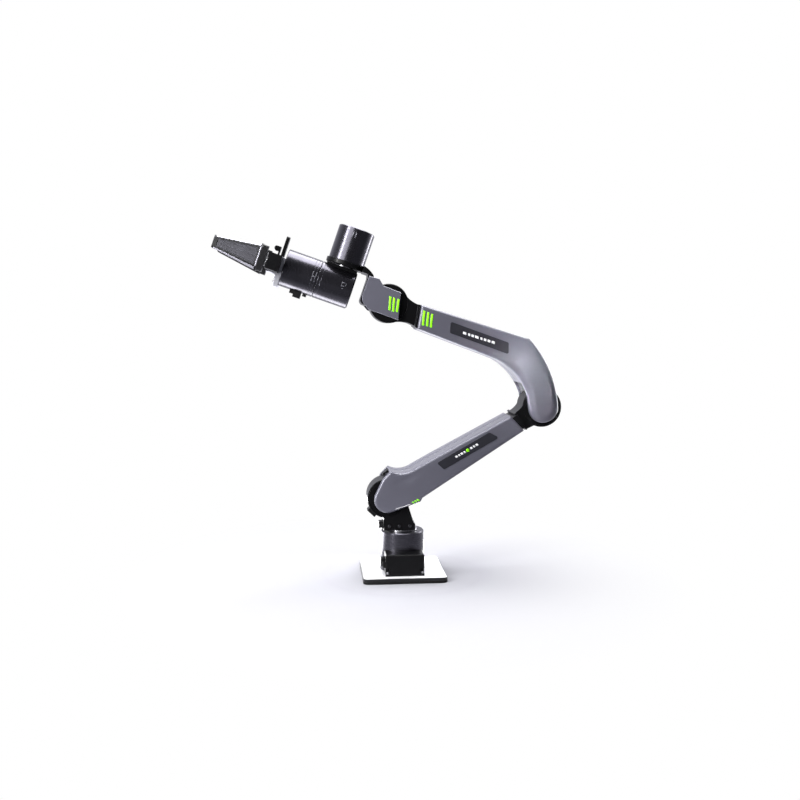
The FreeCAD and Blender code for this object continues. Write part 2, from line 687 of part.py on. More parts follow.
def yaw_saddle():
    """Plate on top of the roll motor that takes the yaw motor's output."""
    plate = block(58.5, 105.5, -13, 13, 22, SADDLE_TOP)
    return plate.cut(rod_x(ROLL_R, 50, 120))


def hollow_case(rear, front, bore_r):
    """Round motor case about the X axis with an output opening in its front face."""
    case = rod_x(ROLL_R, rear, front)
    case = case.makeChamfer(0.8, edges_at(case, "x", front))
    hollow = rod_x(ROLL_R - MOTOR_WALL, rear + 3, front - 3)
    return case.cut(hollow).cut(rod_x(bore_r, front - 4, front + 1))


def grooved(case, places):
    """Shallow turned grooves round a motor case."""
    for x in places:
        groove = rod_x(ROLL_R + 1, x - 0.4, x + 0.4).cut(rod_x(ROLL_R - 0.5, x - 1, x + 1))
        case = case.cut(groove)
    return case


def roll_motor_case():
    case = hollow_case(ROLL_REAR, ROLL_FRONT, 16.0)
    case = case.makeChamfer(2.0, [e for e in edges_at(case, "x", ROLL_REAR) if e.Length > 100])
    return grooved(case, (105.5,))


def stator_x(middle):
    """Wound ring of a motor about the X axis."""
    rear = middle - STATOR_HALF
    front = middle + STATOR_HALF
    return rod_x(ROLL_R - MOTOR_WALL, rear, front).cut(rod_x(STATOR_BORE, rear - 1, front + 1))


def roll_rotor():
    hub = rod_x(15.5, ROLL_FRONT - 5, GRIP_REAR)
    shaft = rod_x(SHAFT_R, 64, ROLL_FRONT - 5)
    drum = rod_x(DRUM_R, ROLL_DRUM_X - DRUM_HALF, ROLL_DRUM_X + DRUM_HALF)
    return fuse(hub, shaft, drum)


# ---------------------------------------------------------------- gripper body

def gripper_motor_case():
    case = hollow_case(GRIP_REAR, GRIP_FRONT, 9.0)
    return grooved(case, (114.8, 119.2))


def gripper_mount():
    """Machined angle bracket: a plate on the motor's face and a shelf under the beam."""
    profile = closed_wire((GRIP_FRONT, BEAM_V), (BEAM_REAR, BEAM_V), (BEAM_REAR, -BEAM_V),
                          (BEAM_FRONT - 1, -BEAM_V), (BEAM_FRONT - 1, -BEAM_V - 3),
                          (BEAM_REAR + 3, -BEAM_V - 4, BEAM_REAR + 4.4, -BEAM_V - 3.2),
                          (BEAM_REAR + 2, -31.0), (GRIP_FRONT, -31.0))
    body = slab(profile, -22, 22)
    for y, z in MOUNT_SCREWS:
        body = body.cut(rod_x(MOUNT_SCREW_HEAD_R + 0.2, BEAM_REAR + 2, BEAM_REAR + 6, y, z))
        body = body.cut(rod_x(MOUNT_SCREW_R, BEAM_REAR - 2, BEAM_REAR + 3, y, z))
    return body.cut(rod_x(9.0, GRIP_FRONT - 1, BEAM_REAR + 1))


def beam():
    """Cross beam: a channel open to the front, closed at both ends, that holds the rail."""
    inner_v = BEAM_V - BEAM_WALL
    inner_y = BEAM_HALF - END_WALL
    body = block(BEAM_REAR, BEAM_FRONT, -BEAM_HALF, BEAM_HALF, -BEAM_V, BEAM_V)
    body = body.cut(block(BEAM_REAR + 2.5, BEAM_FRONT + 1, -inner_y, inner_y, -inner_v, inner_v))
    return body.cut(rod_x(5.0, BEAM_REAR - 1, BEAM_REAR + 4))


def guide_rail():
    inner_y = BEAM_HALF - END_WALL
    rail = block(RAIL_REAR, RAIL_FRONT, -inner_y, inner_y, -RAIL_V, RAIL_V)
    for side in (-1, 1):
        groove = Part.makeCylinder(0.8, 2 * BEAM_HALF, V(184.4, -BEAM_HALF, side * RAIL_V), V(0, 1, 0))
        rail = rail.cut(groove)
    return rail


def camera_bracket():
    """Bracket on the beam: an upright plate with two camera screw holes, and a hooked cable stay."""
    foot_top = BEAM_V + CAMERA_FOOT_THICK
    post = block(CAMERA_POST_REAR, CAMERA_POST_FRONT, -CAMERA_POST_HALF, CAMERA_POST_HALF,
                 BEAM_V, CAMERA_POST_TOP)
    corners = [e for e in edges_at(post, "z", CAMERA_POST_TOP) if e.BoundBox.XLength > 4]
    post = post.makeFillet(3.0, corners)
    foot = block(CAMERA_POST_REAR, STAY_FRONT, -CAMERA_POST_HALF, CAMERA_POST_HALF, BEAM_V, foot_top)
    stay = block(STAY_REAR, STAY_REAR + CAMERA_FOOT_THICK, -STAY_HALF, STAY_HALF, BEAM_V, STAY_TOP)
    hook = block(STAY_REAR, STAY_FRONT, -STAY_HALF, STAY_HALF, STAY_LOW, STAY_TOP)
    hook = hook.makeChamfer(2.0, [e for e in edges_at(hook, "x", STAY_FRONT) if e.BoundBox.ZLength < 1])
    body = fuse(post, foot, stay, hook)
    for z in CAMERA_HOLES_Z:
        body = body.cut(rod_x(CAMERA_HOLE_R, CAMERA_POST_REAR - 1, CAMERA_POST_FRONT + 1, 0, z))
    return body


def gripper_connector():
    """Stepped plug and a screw boss under the gripper motor."""
    plug = block(126.5, 138.0, -6, 6, -36.6, -20).fuse(block(138.0, 144.0, -6, 6, -32.6, -20))
    boss = rod_z(3.0, -31.4, -20, 121.5)
    plug = plug.removeSplitter().cut(rod_x(ROLL_R, 100, 160))
    boss = boss.cut(rod_z(1.2, -32, -29, 121.5)).cut(rod_x(ROLL_R, 100, 160))
    return Part.makeCompound([plug, boss])


def gripper_screws():
    """Cap screws sunk into the mount's lower flange, two on each side."""
    screws = []
    for y, z in MOUNT_SCREWS:
        head = rod_x(MOUNT_SCREW_HEAD_R, BEAM_REAR + 2, BEAM_REAR + 3.8, y, z)
        head = head.cut(rod_x(MOUNT_SCREW_HEAD_R / 2, BEAM_REAR + 2.8, BEAM_REAR + 5, y, z))
        screws.append(head.fuse(rod_x(MOUNT_SCREW_R, BEAM_REAR - 2, BEAM_REAR + 2, y, z)))
    return screws


# ---------------------------------------------------------------- rack and pinion

def pinion_outline():
    """Involute spur gear outline in the plane across the gripper's axis, as (y, z) points."""
    pitch_half = math.pi / (2 * PINION_TEETH) - BACKLASH / (2 * PINION_R)
    base_r = PINION_R * math.cos(math.radians(PRESSURE_ANGLE))
    tip_r = PINION_R + PINION_MODULE * 0.9
    root_r = PINION_R - PINION_MODULE * 1.2
    steps = 5
    at_pitch = math.tan(math.radians(PRESSURE_ANGLE)) - math.radians(PRESSURE_ANGLE)
    flank = []
    for i in range(steps + 1):
        radius = base_r + (tip_r - base_r) * i / steps
        roll = math.sqrt(max((radius / base_r) ** 2 - 1, 0))
        half = pitch_half + at_pitch - (roll - math.atan(roll))
        flank.append((radius, half))
    points = []
    for tooth in range(PINION_TEETH):
        middle = 2 * math.pi * tooth / PINION_TEETH
        foot = flank[0][1]
        points.append((root_r, middle - foot))
        points += [(radius, middle - half) for radius, half in flank]
        points += [(radius, middle + half) for radius, half in reversed(flank)]
        points.append((root_r, middle + foot))
    return [(r * math.cos(a), r * math.sin(a)) for r, a in points]


def drive_pinion():
    """Pinion with its shaft into the gripper motor; its top tooth fills the rack's space at Y = 0."""
    corners = [V(GEAR_REAR + GEAR_INSET, y, z) for y, z in pinion_outline()]
    width = GEAR_FRONT - GEAR_REAR - 2 * GEAR_INSET
    gear = Part.Face(Part.makePolygon(corners + corners[:1])).extrude(V(width, 0, 0))
    shaft = rod_x(PINION_SHAFT_R, GRIP_DRUM_X - STATOR_HALF, GEAR_REAR + GEAR_INSET)
    drum = rod_x(DRUM_R, GRIP_DRUM_X - DRUM_HALF, GRIP_DRUM_X + DRUM_HALF)
    return fuse(gear, shaft, drum)


def rack(low_y, high_y):
    """Rack over the pinion; its teeth point down and stand half a pitch either side of Y = 0."""
    pitch = math.pi * PINION_MODULE
    slope = math.tan(math.radians(PRESSURE_ANGLE))
    tip = PINION_R - PINION_MODULE * 0.9
    root = PINION_R + PINION_MODULE * 1.2
    body = block(GEAR_REAR, GEAR_FRONT, low_y, high_y, root, RACK_BACK)
    half = pitch / 4 - BACKLASH / 2
    first = math.ceil((low_y - RACK_PHASE) / pitch + 0.5)
    last = math.floor((high_y - RACK_PHASE) / pitch - 0.5)
    wires = []
    for index in range(first, last + 1):
        middle = RACK_PHASE + index * pitch
        narrow = half - (PINION_R - tip) * slope
        wide = half + (root + 0.1 - PINION_R) * slope
        corners = [V(GEAR_REAR, middle - wide, root + 0.1), V(GEAR_REAR, middle - narrow, tip),
                   V(GEAR_REAR, middle + narrow, tip), V(GEAR_REAR, middle + wide, root + 0.1)]
        face = Part.Face(Part.makePolygon(corners + corners[:1]))
        wires.append(face.extrude(V(GEAR_FRONT - GEAR_REAR, 0, 0)))
    return fuse(body, *wires)


# ---------------------------------------------------------------- jaws

def jaw_carriage():
    """Slider on the guide rail with the rack behind it."""
    body = block(CARRIAGE_REAR, CARRIAGE_FRONT, CARRIAGE_IN, CARRIAGE_OUT, -RACK_BACK, RACK_BACK)
    gap = RUN_GAP
    body = body.cut(block(RAIL_REAR - gap, RAIL_FRONT + gap, CARRIAGE_IN - 1, CARRIAGE_OUT + 1,
                          -RAIL_V - gap, RAIL_V + gap))
    clear_of_other_jaw = block(GEAR_FRONT - RUN_GAP, GEAR_FRONT + 1, -6.0, CARRIAGE_IN - 1,
                               -RACK_BACK - 1, RACK_BACK + 1)
    return fuse(body, rack(-4.5, CARRIAGE_OUT).cut(clear_of_other_jaw))


def finger_section(x, half_v, y_out, bevel):
    """Cross-section of the finger at one station: flat inside, bevelled outside."""
    corners = [(FINGER_IN, -half_v), (y_out - bevel, -half_v), (y_out, -half_v + bevel * 1.6),
               (y_out, half_v - bevel * 1.6), (y_out - bevel, half_v), (FINGER_IN, half_v)]
    points = [V(x, y, z) for y, z in corners]
    return Part.makePolygon(points + points[:1])


def finger():
    """Tapered finger with a base block and a ribbed outer face."""
    wedge = Part.makeLoft([finger_section(FINGER_BASE_X, 20.0, 51.0, 3.4),
                           finger_section(FINGER_TIP_X, 9.2, 44.5, 1.6)], True, True)
    base = block(CARRIAGE_FRONT, FINGER_BASE_X, CARRIAGE_IN, 51.0, -19.0, 19.0)
    base = base.makeChamfer(1.2, [e for e in edges_at(base, "y", 51.0) if e.BoundBox.ZLength < 1])
    body = wedge.fuse(base).removeSplitter()
    pocket_profiles = []
    for x, half_v, y_out in ((FINGER_BASE_X + 4, 12.6, 51.0), (FINGER_TIP_X - 6, 5.4, 45.0)):
        points = [V(x, y_out - 1.2, -half_v), V(x, y_out + 3, -half_v), V(x, y_out + 3, half_v),
                  V(x, y_out - 1.2, half_v)]
        pocket_profiles.append(Part.makePolygon(points + points[:1]))
    pocket = Part.makeLoft(pocket_profiles, True, True)
    return body.cut(pocket)


def finger_pad():
    """Grooved rubber pad on the finger's inner face."""
    low = FINGER_BASE_X + 14
    high = FINGER_TIP_X - 1
    outline = closed_wire((low, -12.0), (low, 12.0), (high, 7.6), (high, -7.6))
    pad = slab(outline, PAD_IN, FINGER_IN)
    count = 9
    pitch = (high - low) / count
    for index in range(1, count):
        x = low + index * pitch
        pad = pad.cut(block(x - 0.6, x + 0.6, PAD_IN - 1, PAD_IN + 0.7, -20, 20))
    return pad


def turned_over(shape):
    """The far jaw's copy: half a turn about the gripper's axis."""
    turned = shape.copy()
    turned.rotate(V(0, 0, 0), V(1, 0, 0), 180)
    return turned


# ---------------------------------------------------------------- output

def save(name, shape):
    if isinstance(shape, list):
        shape = Part.makeCompound(shape)
    if not shape.isValid():
        print("INVALID", name)
    print(name, len(shape.Solids), round(shape.Volume / 1000.0, 2))
    shape.exportStep("parts/%s.step" % name)


def at_shoulder(shape):
    moved = shape.copy()
    moved.translate(V(SHOULDER_X, 0, SHOULDER_Z))
    return moved


def at_elbow(shape):
    """A shape about the elbow axis, placed with the upper arm."""
    moved = shape.copy()
    moved.translate(V(-UPPER_LENGTH, 0, 0))
    return in_upper(moved)


def main():
    os.makedirs("parts", exist_ok=True)
    row_parts = {
        "base_pad": base_pad(),
        "base_plate": base_plate(),
        "base_motor_case": base_motor_case(),
        "base_stator": base_stator(),
        "base_bearing": base_bearing(),
        "base_housing": base_housing(),
        "base_connectors": base_connectors(),
        "base_screws": base_screws(),
        "turret_rotor": turret_rotor(),
        "shoulder_yoke": shoulder_yoke(),
        "yoke_screws": yoke_screws(),
        "shoulder_motor_case": at_shoulder(motor_case()),
        "shoulder_stator": at_shoulder(motor_stator()),
        "shoulder_connector": shoulder_connector(),
        "turret_socket": turret_socket(),
    }
    upper_near = upper_cover()
    upper_parts = {
        "shoulder_rotor": motor_rotor(FRAME_IN),
        "upper_cover_near": upper_near,
        "upper_cover_far": drilled(mirrored(upper_near), UPPER_SCREWS),
        "upper_frame": drilled(upper_frame(), UPPER_SCREWS),
        "upper_cover_screws": Part.makeCompound(cover_screws(UPPER_SCREWS)),
        "upper_label": upper_label(),
        "cable_clip": cable_clip(),
        "elbow_bracket": elbow_bracket(),
    }
    fore_near = fore_cover()
    fore_parts = {
        "fore_cover_near": fore_near,
        "fore_cover_far": drilled(mirrored(fore_near), FORE_SCREWS),
        "fore_frame": drilled(fore_frame(), FORE_SCREWS),
        "fore_cover_screws": Part.makeCompound(cover_screws(FORE_SCREWS)),
        "fore_label": fore_label(),
        "wrist_bracket": wrist_bracket(),
        "wrist_motor_case": motor_case(),
        "wrist_stator": motor_stator(),
    }
    plate = wrist_plate()
    wrist_parts = {
        "wrist_rotor": motor_rotor(PLATE_IN),
        "wrist_plate_near": plate,
        "wrist_plate_far": mirrored(plate),
        "wrist_cradle": wrist_cradle(),
        "yaw_motor_case": yaw_motor_case(),
        "yaw_stator": yaw_stator(),
        "yaw_rotor": yaw_rotor(),
        "yaw_saddle": yaw_saddle(),
        "roll_motor_case": roll_motor_case(),
        "roll_stator": stator_x(ROLL_DRUM_X),
        "roll_rotor": roll_rotor(),
        "gripper_motor_case": gripper_motor_case(),
        "gripper_stator": stator_x(GRIP_DRUM_X),
        "gripper_mount": gripper_mount(),
        "gripper_beam": beam(),
        "guide_rail": guide_rail(),
        "camera_bracket": camera_bracket(),
        "gripper_connector": gripper_connector(),
        "gripper_screws": Part.makeCompound(gripper_screws()),
        "drive_pinion": drive_pinion(),
    }
    jaw_parts = {"carriage": jaw_carriage(), "finger": finger(), "pad": finger_pad()}
    for name, shape in row_parts.items():
        save(name, shape)
    for name, shape in upper_parts.items():
        save(name, in_upper(shape))
    save("elbow_motor_case", at_elbow(motor_case()))
    save("elbow_stator", at_elbow(motor_stator()))
    save("elbow_rotor", at_elbow(motor_rotor(FRAME_IN)))
    for name, shape in list(fore_parts.items()) + list(wrist_parts.items()):
        save(name, in_wrist(shape))
    for name, shape in jaw_parts.items():
        save("jaw_near_" + name, in_wrist(shape))
        save("jaw_far_" + name, in_wrist(turned_over(shape)))


main()
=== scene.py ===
import json
import math

import bmesh
import bpy
import numpy as np
from mathutils import Matrix, Vector
from mathutils.geometry import delaunay_2d_cdt


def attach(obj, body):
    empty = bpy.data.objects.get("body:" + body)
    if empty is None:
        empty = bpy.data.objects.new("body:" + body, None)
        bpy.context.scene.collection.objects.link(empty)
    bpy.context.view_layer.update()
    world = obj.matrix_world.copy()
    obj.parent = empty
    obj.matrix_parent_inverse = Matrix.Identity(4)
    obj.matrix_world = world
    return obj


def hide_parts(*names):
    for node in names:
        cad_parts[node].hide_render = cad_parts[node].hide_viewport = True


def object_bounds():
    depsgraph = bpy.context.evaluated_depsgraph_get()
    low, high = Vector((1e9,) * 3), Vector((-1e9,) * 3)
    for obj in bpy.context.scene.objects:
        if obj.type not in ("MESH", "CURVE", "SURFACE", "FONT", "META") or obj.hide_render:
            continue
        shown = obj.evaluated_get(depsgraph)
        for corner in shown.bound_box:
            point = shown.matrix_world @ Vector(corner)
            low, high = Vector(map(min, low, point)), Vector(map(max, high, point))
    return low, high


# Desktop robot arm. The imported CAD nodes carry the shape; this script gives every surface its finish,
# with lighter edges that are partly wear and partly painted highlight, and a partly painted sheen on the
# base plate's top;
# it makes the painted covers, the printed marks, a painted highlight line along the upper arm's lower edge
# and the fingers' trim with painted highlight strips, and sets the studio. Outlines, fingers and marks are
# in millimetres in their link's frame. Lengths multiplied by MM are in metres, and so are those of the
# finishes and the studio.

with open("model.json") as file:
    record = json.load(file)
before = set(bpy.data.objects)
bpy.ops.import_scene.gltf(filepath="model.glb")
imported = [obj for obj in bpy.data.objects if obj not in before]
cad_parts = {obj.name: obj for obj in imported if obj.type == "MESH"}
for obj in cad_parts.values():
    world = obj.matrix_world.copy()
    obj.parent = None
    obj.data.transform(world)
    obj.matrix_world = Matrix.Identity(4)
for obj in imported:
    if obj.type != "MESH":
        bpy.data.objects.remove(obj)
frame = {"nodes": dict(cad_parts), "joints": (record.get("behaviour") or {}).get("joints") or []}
cad_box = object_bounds()
nodes = frame["nodes"]

MM = 0.001

# ---------------------------------------------------------------- driving dimensions

SHELL_HALF = 31.0 * MM
PLATE_OUT = 28.0 * MM
LABEL_OUT = 31.5 * MM
BASE_PLATE_HALF = 62.5 * MM
PLATE_EDGE = 1.2 * MM

# Wrist motors, in millimetres in the hand's frame
ROLL_R = 28.0
YAW_R = 27.2
YAW_AXIS_X = 78.4

# Fingers, in millimetres in the hand's frame: the outer face at both ends
FINGER_BASE_X = 197.0
FINGER_TIP_X = 266.0
FINGER_BASE_Y = 51.0
FINGER_TIP_Y = 44.5
POCKET_DEEP = 1.2

# Decals
BAR_WIDE = 3.4 * MM
DECAL_THICK = 0.25 * MM

# Camera and studio
CAMERA_TURN = math.radians(5.153)
CAMERA_DIP = math.radians(4.752)
CAMERA_PLACE = (0.1229, 1.3267, 0.3765)
CAMERA_LENS = 39.78
SENSOR = 36.0

# Linear colours
COVER_GREY = (0.118, 0.117, 0.148)
DEEP_BLACK = (0.004, 0.004, 0.0045)
MOTOR_BLACK = (0.060, 0.058, 0.070)
LIME = (0.28, 0.95, 0.004)
LABEL_GREY = (0.021, 0.021, 0.027)
FINGER_GREY = (0.046, 0.045, 0.054)
PALE_METAL = (0.66, 0.66, 0.72)
# White of the printed marks, also used for a painted highlight line on the upper arm
WHITE_PRINT_AND_HIGHLIGHT = (0.80, 0.80, 0.82)


# ---------------------------------------------------------------- link frames

def joint(name):
    return next(j for j in frame["joints"] if j["name"] == name)


def link_matrix(origin, forward):
    """Frame with x along the link, y to the near side and z up across the link."""
    x_axis = Vector(forward).normalized()
    y_axis = Vector((0, 1, 0))
    z_axis = x_axis.cross(y_axis)
    axes = Matrix((x_axis, y_axis, z_axis)).transposed().to_4x4()
    return Matrix.Translation(Vector(origin)) @ axes


SHOULDER = Vector(joint("shoulder_pitch")["pos_m"])
ELBOW = Vector(joint("elbow_pitch")["pos_m"])
WRIST = Vector(joint("wrist_pitch_joint")["pos_m"])
UPPER = link_matrix(SHOULDER, SHOULDER - ELBOW)
HAND = link_matrix(WRIST, joint("wrist_roll_joint")["axis"])
TURNED_OVER = Matrix.Rotation(math.pi, 4, "X")


# ---------------------------------------------------------------- materials

# Dot product of the rounded and the plain normal where an edge's lighter colour, partly wear and partly a
# painted highlight, starts and where it is full
EDGE_STARTS = 0.995
EDGE_FULL = 0.90
COAT_ROUGH = 0.28
ROUGH_LOW = 0.82
ROUGH_HIGH = 1.18
# How far up a face must look to count as the top of the plate, from not at all to fully
TOP_STARTS = 0.88
TOP_FULL = 0.94
BORDER_SOFT = 0.1 * MM


def node(tree, kind, **values):
    made = tree.nodes.new(kind)
    for key, value in values.items():
        made.inputs[key.replace("_", " ")].default_value = value
    return made


def wire(tree, source, target):
    tree.links.new(source, target)


def object_coordinates(tree, turn=(0, 0, 0), scale=(1, 1, 1)):
    place = tree.nodes.new("ShaderNodeTexCoord")
    mapping = tree.nodes.new("ShaderNodeMapping")
    mapping.inputs["Rotation"].default_value = turn
    mapping.inputs["Scale"].default_value = scale
    wire(tree, place.outputs["Object"], mapping.inputs["Vector"])
    return mapping.outputs["Vector"]


def noise(tree, where, scale, detail=4.0):
    made = node(tree, "ShaderNodeTexNoise", Scale=scale, Detail=detail)
    wire(tree, where, made.inputs["Vector"])
    return made.outputs["Fac"]


def remap(tree, value, low, high, to_low, to_high):
    made = node(tree, "ShaderNodeMapRange", From_Min=low, From_Max=high, To_Min=to_low, To_Max=to_high)
    wire(tree, value, made.inputs["Value"])
    return made.outputs["Result"]


def mixed(tree, factor, first, second):
    """Colour mix; either end is a socket or a colour."""
    made = tree.nodes.new("ShaderNodeMix")
    made.data_type = "RGBA"
    wire(tree, factor, made.inputs["Factor"])
    for socket, value in ((made.inputs[6], first), (made.inputs[7], second)):
        if isinstance(value, tuple):
            socket.default_value = value + (1.0,)
        else:
            wire(tree, value, socket)
    return made.outputs[2]


def maths(tree, operation, *values):
    made = tree.nodes.new("ShaderNodeMath")
    made.operation = operation
    for socket, value in zip(made.inputs, values):
        wire(tree, value, socket)
    return made.outputs["Value"]


def rounded_normal(tree, radius):
    bevel = tree.nodes.new("ShaderNodeBevel")
    bevel.samples = 6
    bevel.inputs["Radius"].default_value = radius
    return bevel.outputs["Normal"]


# Mask for a lighter edge colour: partly edge wear, partly a painted highlight along the edges.
def edge_wear_and_highlight_mask(tree, round_normal, breakup):
    """1 along outer edges, 0 on faces, broken up by noise."""
    geometry = tree.nodes.new("ShaderNodeNewGeometry")
    dot = tree.nodes.new("ShaderNodeVectorMath")
    dot.operation = "DOT_PRODUCT"
    wire(tree, round_normal, dot.inputs[0])
    wire(tree, geometry.outputs["Normal"], dot.inputs[1])
    edge = remap(tree, dot.outputs["Value"], EDGE_STARTS, EDGE_FULL, 0.0, 1.0)
    return maths(tree, "MULTIPLY", edge, remap(tree, breakup, 0.35, 0.65, 0.35, 1.0))


def finish(name, colour, rough, metal=0.0, grain=700.0, depth=0.00002, mottle=0.12, edge=None,
           edge_radius=0.0005, turn=(0, 0, 0), stretch=(1, 1, 1), specular=0.5, coat=0.0):
    """A surface with slow colour and gloss variation, a fine grain, soft edges, and lighter edges that are
    partly wear and partly a painted highlight.
    """
    material = bpy.data.materials.new(name)
    material.use_nodes = True
    tree = material.node_tree
    shader = tree.nodes["Principled BSDF"]
    shader.inputs["Metallic"].default_value = metal
    shader.inputs["Specular IOR Level"].default_value = specular
    shader.inputs["Coat Weight"].default_value = coat
    shader.inputs["Coat Roughness"].default_value = COAT_ROUGH
    where = object_coordinates(tree)
    slow = noise(tree, where, 45.0, 3.0)
    darker = tuple(c * (1 - mottle) for c in colour)
    lighter = tuple(min(c * (1 + mottle), 1.0) for c in colour)
    tone = mixed(tree, remap(tree, slow, 0.3, 0.7, 0.0, 1.0), darker, lighter)
    soft = rounded_normal(tree, edge_radius)
    # Lighter colour along the edges: partly wear, partly a painted highlight.
    if edge is not None:
        tone = mixed(tree, edge_wear_and_highlight_mask(tree, soft, slow), tone, edge)
    wire(tree, tone, shader.inputs["Base Color"])
    fine = noise(tree, object_coordinates(tree, turn, stretch), grain, 2.0)
    wire(tree, remap(tree, fine, 0.25, 0.75, rough * ROUGH_LOW, rough * ROUGH_HIGH),
         shader.inputs["Roughness"])
    bump = node(tree, "ShaderNodeBump", Distance=depth, Strength=0.6)
    wire(tree, fine, bump.inputs["Height"])
    wire(tree, soft, bump.inputs["Normal"])
    wire(tree, bump.outputs["Normal"], shader.inputs["Normal"])
    return material


def link_turn():
    """Euler turn that brings the hand's forward axis onto X, for turned grain."""
    forward = HAND.to_3x3().col[0]
    return (0.0, math.atan2(forward.z, forward.x), 0.0)


def plate_with_painted_top_sheen():
    """Faces that look up get a bright satin colour, partly a painted reflection of the light above; every
    other face is black, and the top has a narrow black border.
    """
    material = finish("plate_satin_painted_sheen", (0.86, 0.86, 0.88), 0.30, metal=0.15, grain=1600.0, mottle=0.02)
    tree = material.node_tree
    shader = tree.nodes["Principled BSDF"]
    tone = shader.inputs["Base Color"].links[0].from_socket
    place = tree.nodes.new("ShaderNodeTexCoord")
    facing = tree.nodes.new("ShaderNodeSeparateXYZ")
    wire(tree, place.outputs["Normal"], facing.inputs["Vector"])
    # Faces that look up keep the bright colour, partly a painted reflection of the light above; every other
    # face is painted black.
    up = remap(tree, facing.outputs["Z"], TOP_STARTS, TOP_FULL, 0.0, 1.0)
    where = tree.nodes.new("ShaderNodeSeparateXYZ")
    wire(tree, place.outputs["Object"], where.inputs["Vector"])
    reach = maths(tree, "MAXIMUM", maths(tree, "ABSOLUTE", where.outputs["X"]),
                  maths(tree, "ABSOLUTE", where.outputs["Y"]))
    border = BASE_PLATE_HALF - PLATE_EDGE
    within = remap(tree, reach, border, border - BORDER_SOFT, 0.0, 1.0)
    wire(tree, mixed(tree, maths(tree, "MULTIPLY", up, within), DEEP_BLACK, tone),
         shader.inputs["Base Color"])
    return material


TURNED_X = (14.0, 0.4, 0.4)
TURNED_Z = (0.4, 0.4, 14.0)
# Edge colours, here and in the table below, are lighter than their surfaces: partly wear, partly a painted
# highlight along the edges.
MOTOR_EDGE = (0.12, 0.12, 0.14)
MATERIALS = {
    "cover": finish("cover_paint", COVER_GREY, 0.38, metal=0.30, grain=2600.0, mottle=0.03,
                    edge=(0.19, 0.19, 0.235), coat=0.35),
    "casting": finish("black_casting", DEEP_BLACK, 0.32, grain=1500.0, depth=0.00003,
                      edge=(0.02, 0.02, 0.024), specular=0.12),
    "motor_x": finish("motor_turned_x", MOTOR_BLACK, 0.24, metal=0.9, grain=120.0, mottle=0.10,
                      depth=0.000003, edge=MOTOR_EDGE, turn=link_turn(), stretch=TURNED_X),
    "motor_z": finish("motor_turned_z", MOTOR_BLACK, 0.24, metal=0.9, grain=120.0, mottle=0.10,
                      depth=0.000003, edge=MOTOR_EDGE, turn=link_turn(), stretch=TURNED_Z),
    "motor_base": finish("motor_turned_base", MOTOR_BLACK, 0.30, metal=0.9, grain=90.0, mottle=0.04,
                         depth=0.000001, edge=(0.24, 0.24, 0.28), stretch=(0.2, 0.2, 14.0)),
    "motor_y": finish("motor_black_y", DEEP_BLACK, 0.5, grain=900.0, depth=0.00001, specular=0.06),
    "plate": plate_with_painted_top_sheen(),
    "rubber": finish("black_rubber", (0.006, 0.006, 0.006), 0.72, grain=1200.0, depth=0.00008,
                     specular=0.2),
    "frame": finish("milled_frame", (0.55, 0.56, 0.58), 0.38, metal=1.0, grain=260.0,
                    stretch=(6.0, 1.0, 1.0)),
    "silver": finish("satin_silver", PALE_METAL, 0.33, metal=0.75, grain=500.0, mottle=0.05,
                     stretch=(1.0, 8.0, 1.0), edge=(0.85, 0.85, 0.9)),
    "steel": finish("ground_steel", (0.42, 0.42, 0.44), 0.26, metal=1.0, grain=900.0,
                    stretch=(1.0, 6.0, 1.0)),
    "dark_steel": finish("black_oxide_steel", (0.05, 0.05, 0.055), 0.32, metal=0.9, grain=900.0),
    "winding": finish("copper_winding", (0.40, 0.17, 0.07), 0.42, metal=0.8, grain=600.0, depth=0.0003,
                      stretch=(1.0, 9.0, 1.0)),
    "socket": finish("moulded_black", (0.006, 0.006, 0.0065), 0.44, grain=2200.0, depth=0.00003,
                     edge=(0.03, 0.03, 0.035), specular=0.2),
    "label": finish("label_film", LABEL_GREY, 0.36, grain=2400.0, mottle=0.05, edge=(0.05, 0.05, 0.06),
                    specular=0.25),
    "finger": finish("finger_shell", (0.008, 0.008, 0.009), 0.34, grain=1800.0,
                     edge=(0.16, 0.16, 0.19), specular=0.25),
    "finger_panel": finish("finger_panel", FINGER_GREY, 0.50, grain=1900.0, depth=0.00001,
                           edge=(0.09, 0.09, 0.11), specular=0.2),
    "lime": finish("lime_print", LIME, 0.38, grain=2000.0, mottle=0.04),
    "print": finish("white_print_and_painted_highlight", WHITE_PRINT_AND_HIGHLIGHT, 0.45, grain=2000.0, mottle=0.02),
    "grey_print": finish("grey_print", (0.10, 0.10, 0.12), 0.45, grain=2000.0, mottle=0.02),
    # Pale colour of the painted highlight lines on the fingers
    "painted_highlight_strip": finish("painted_highlight_strip", (0.50, 0.49, 0.56), 0.30, metal=0.6, grain=1500.0, mottle=0.04),
}

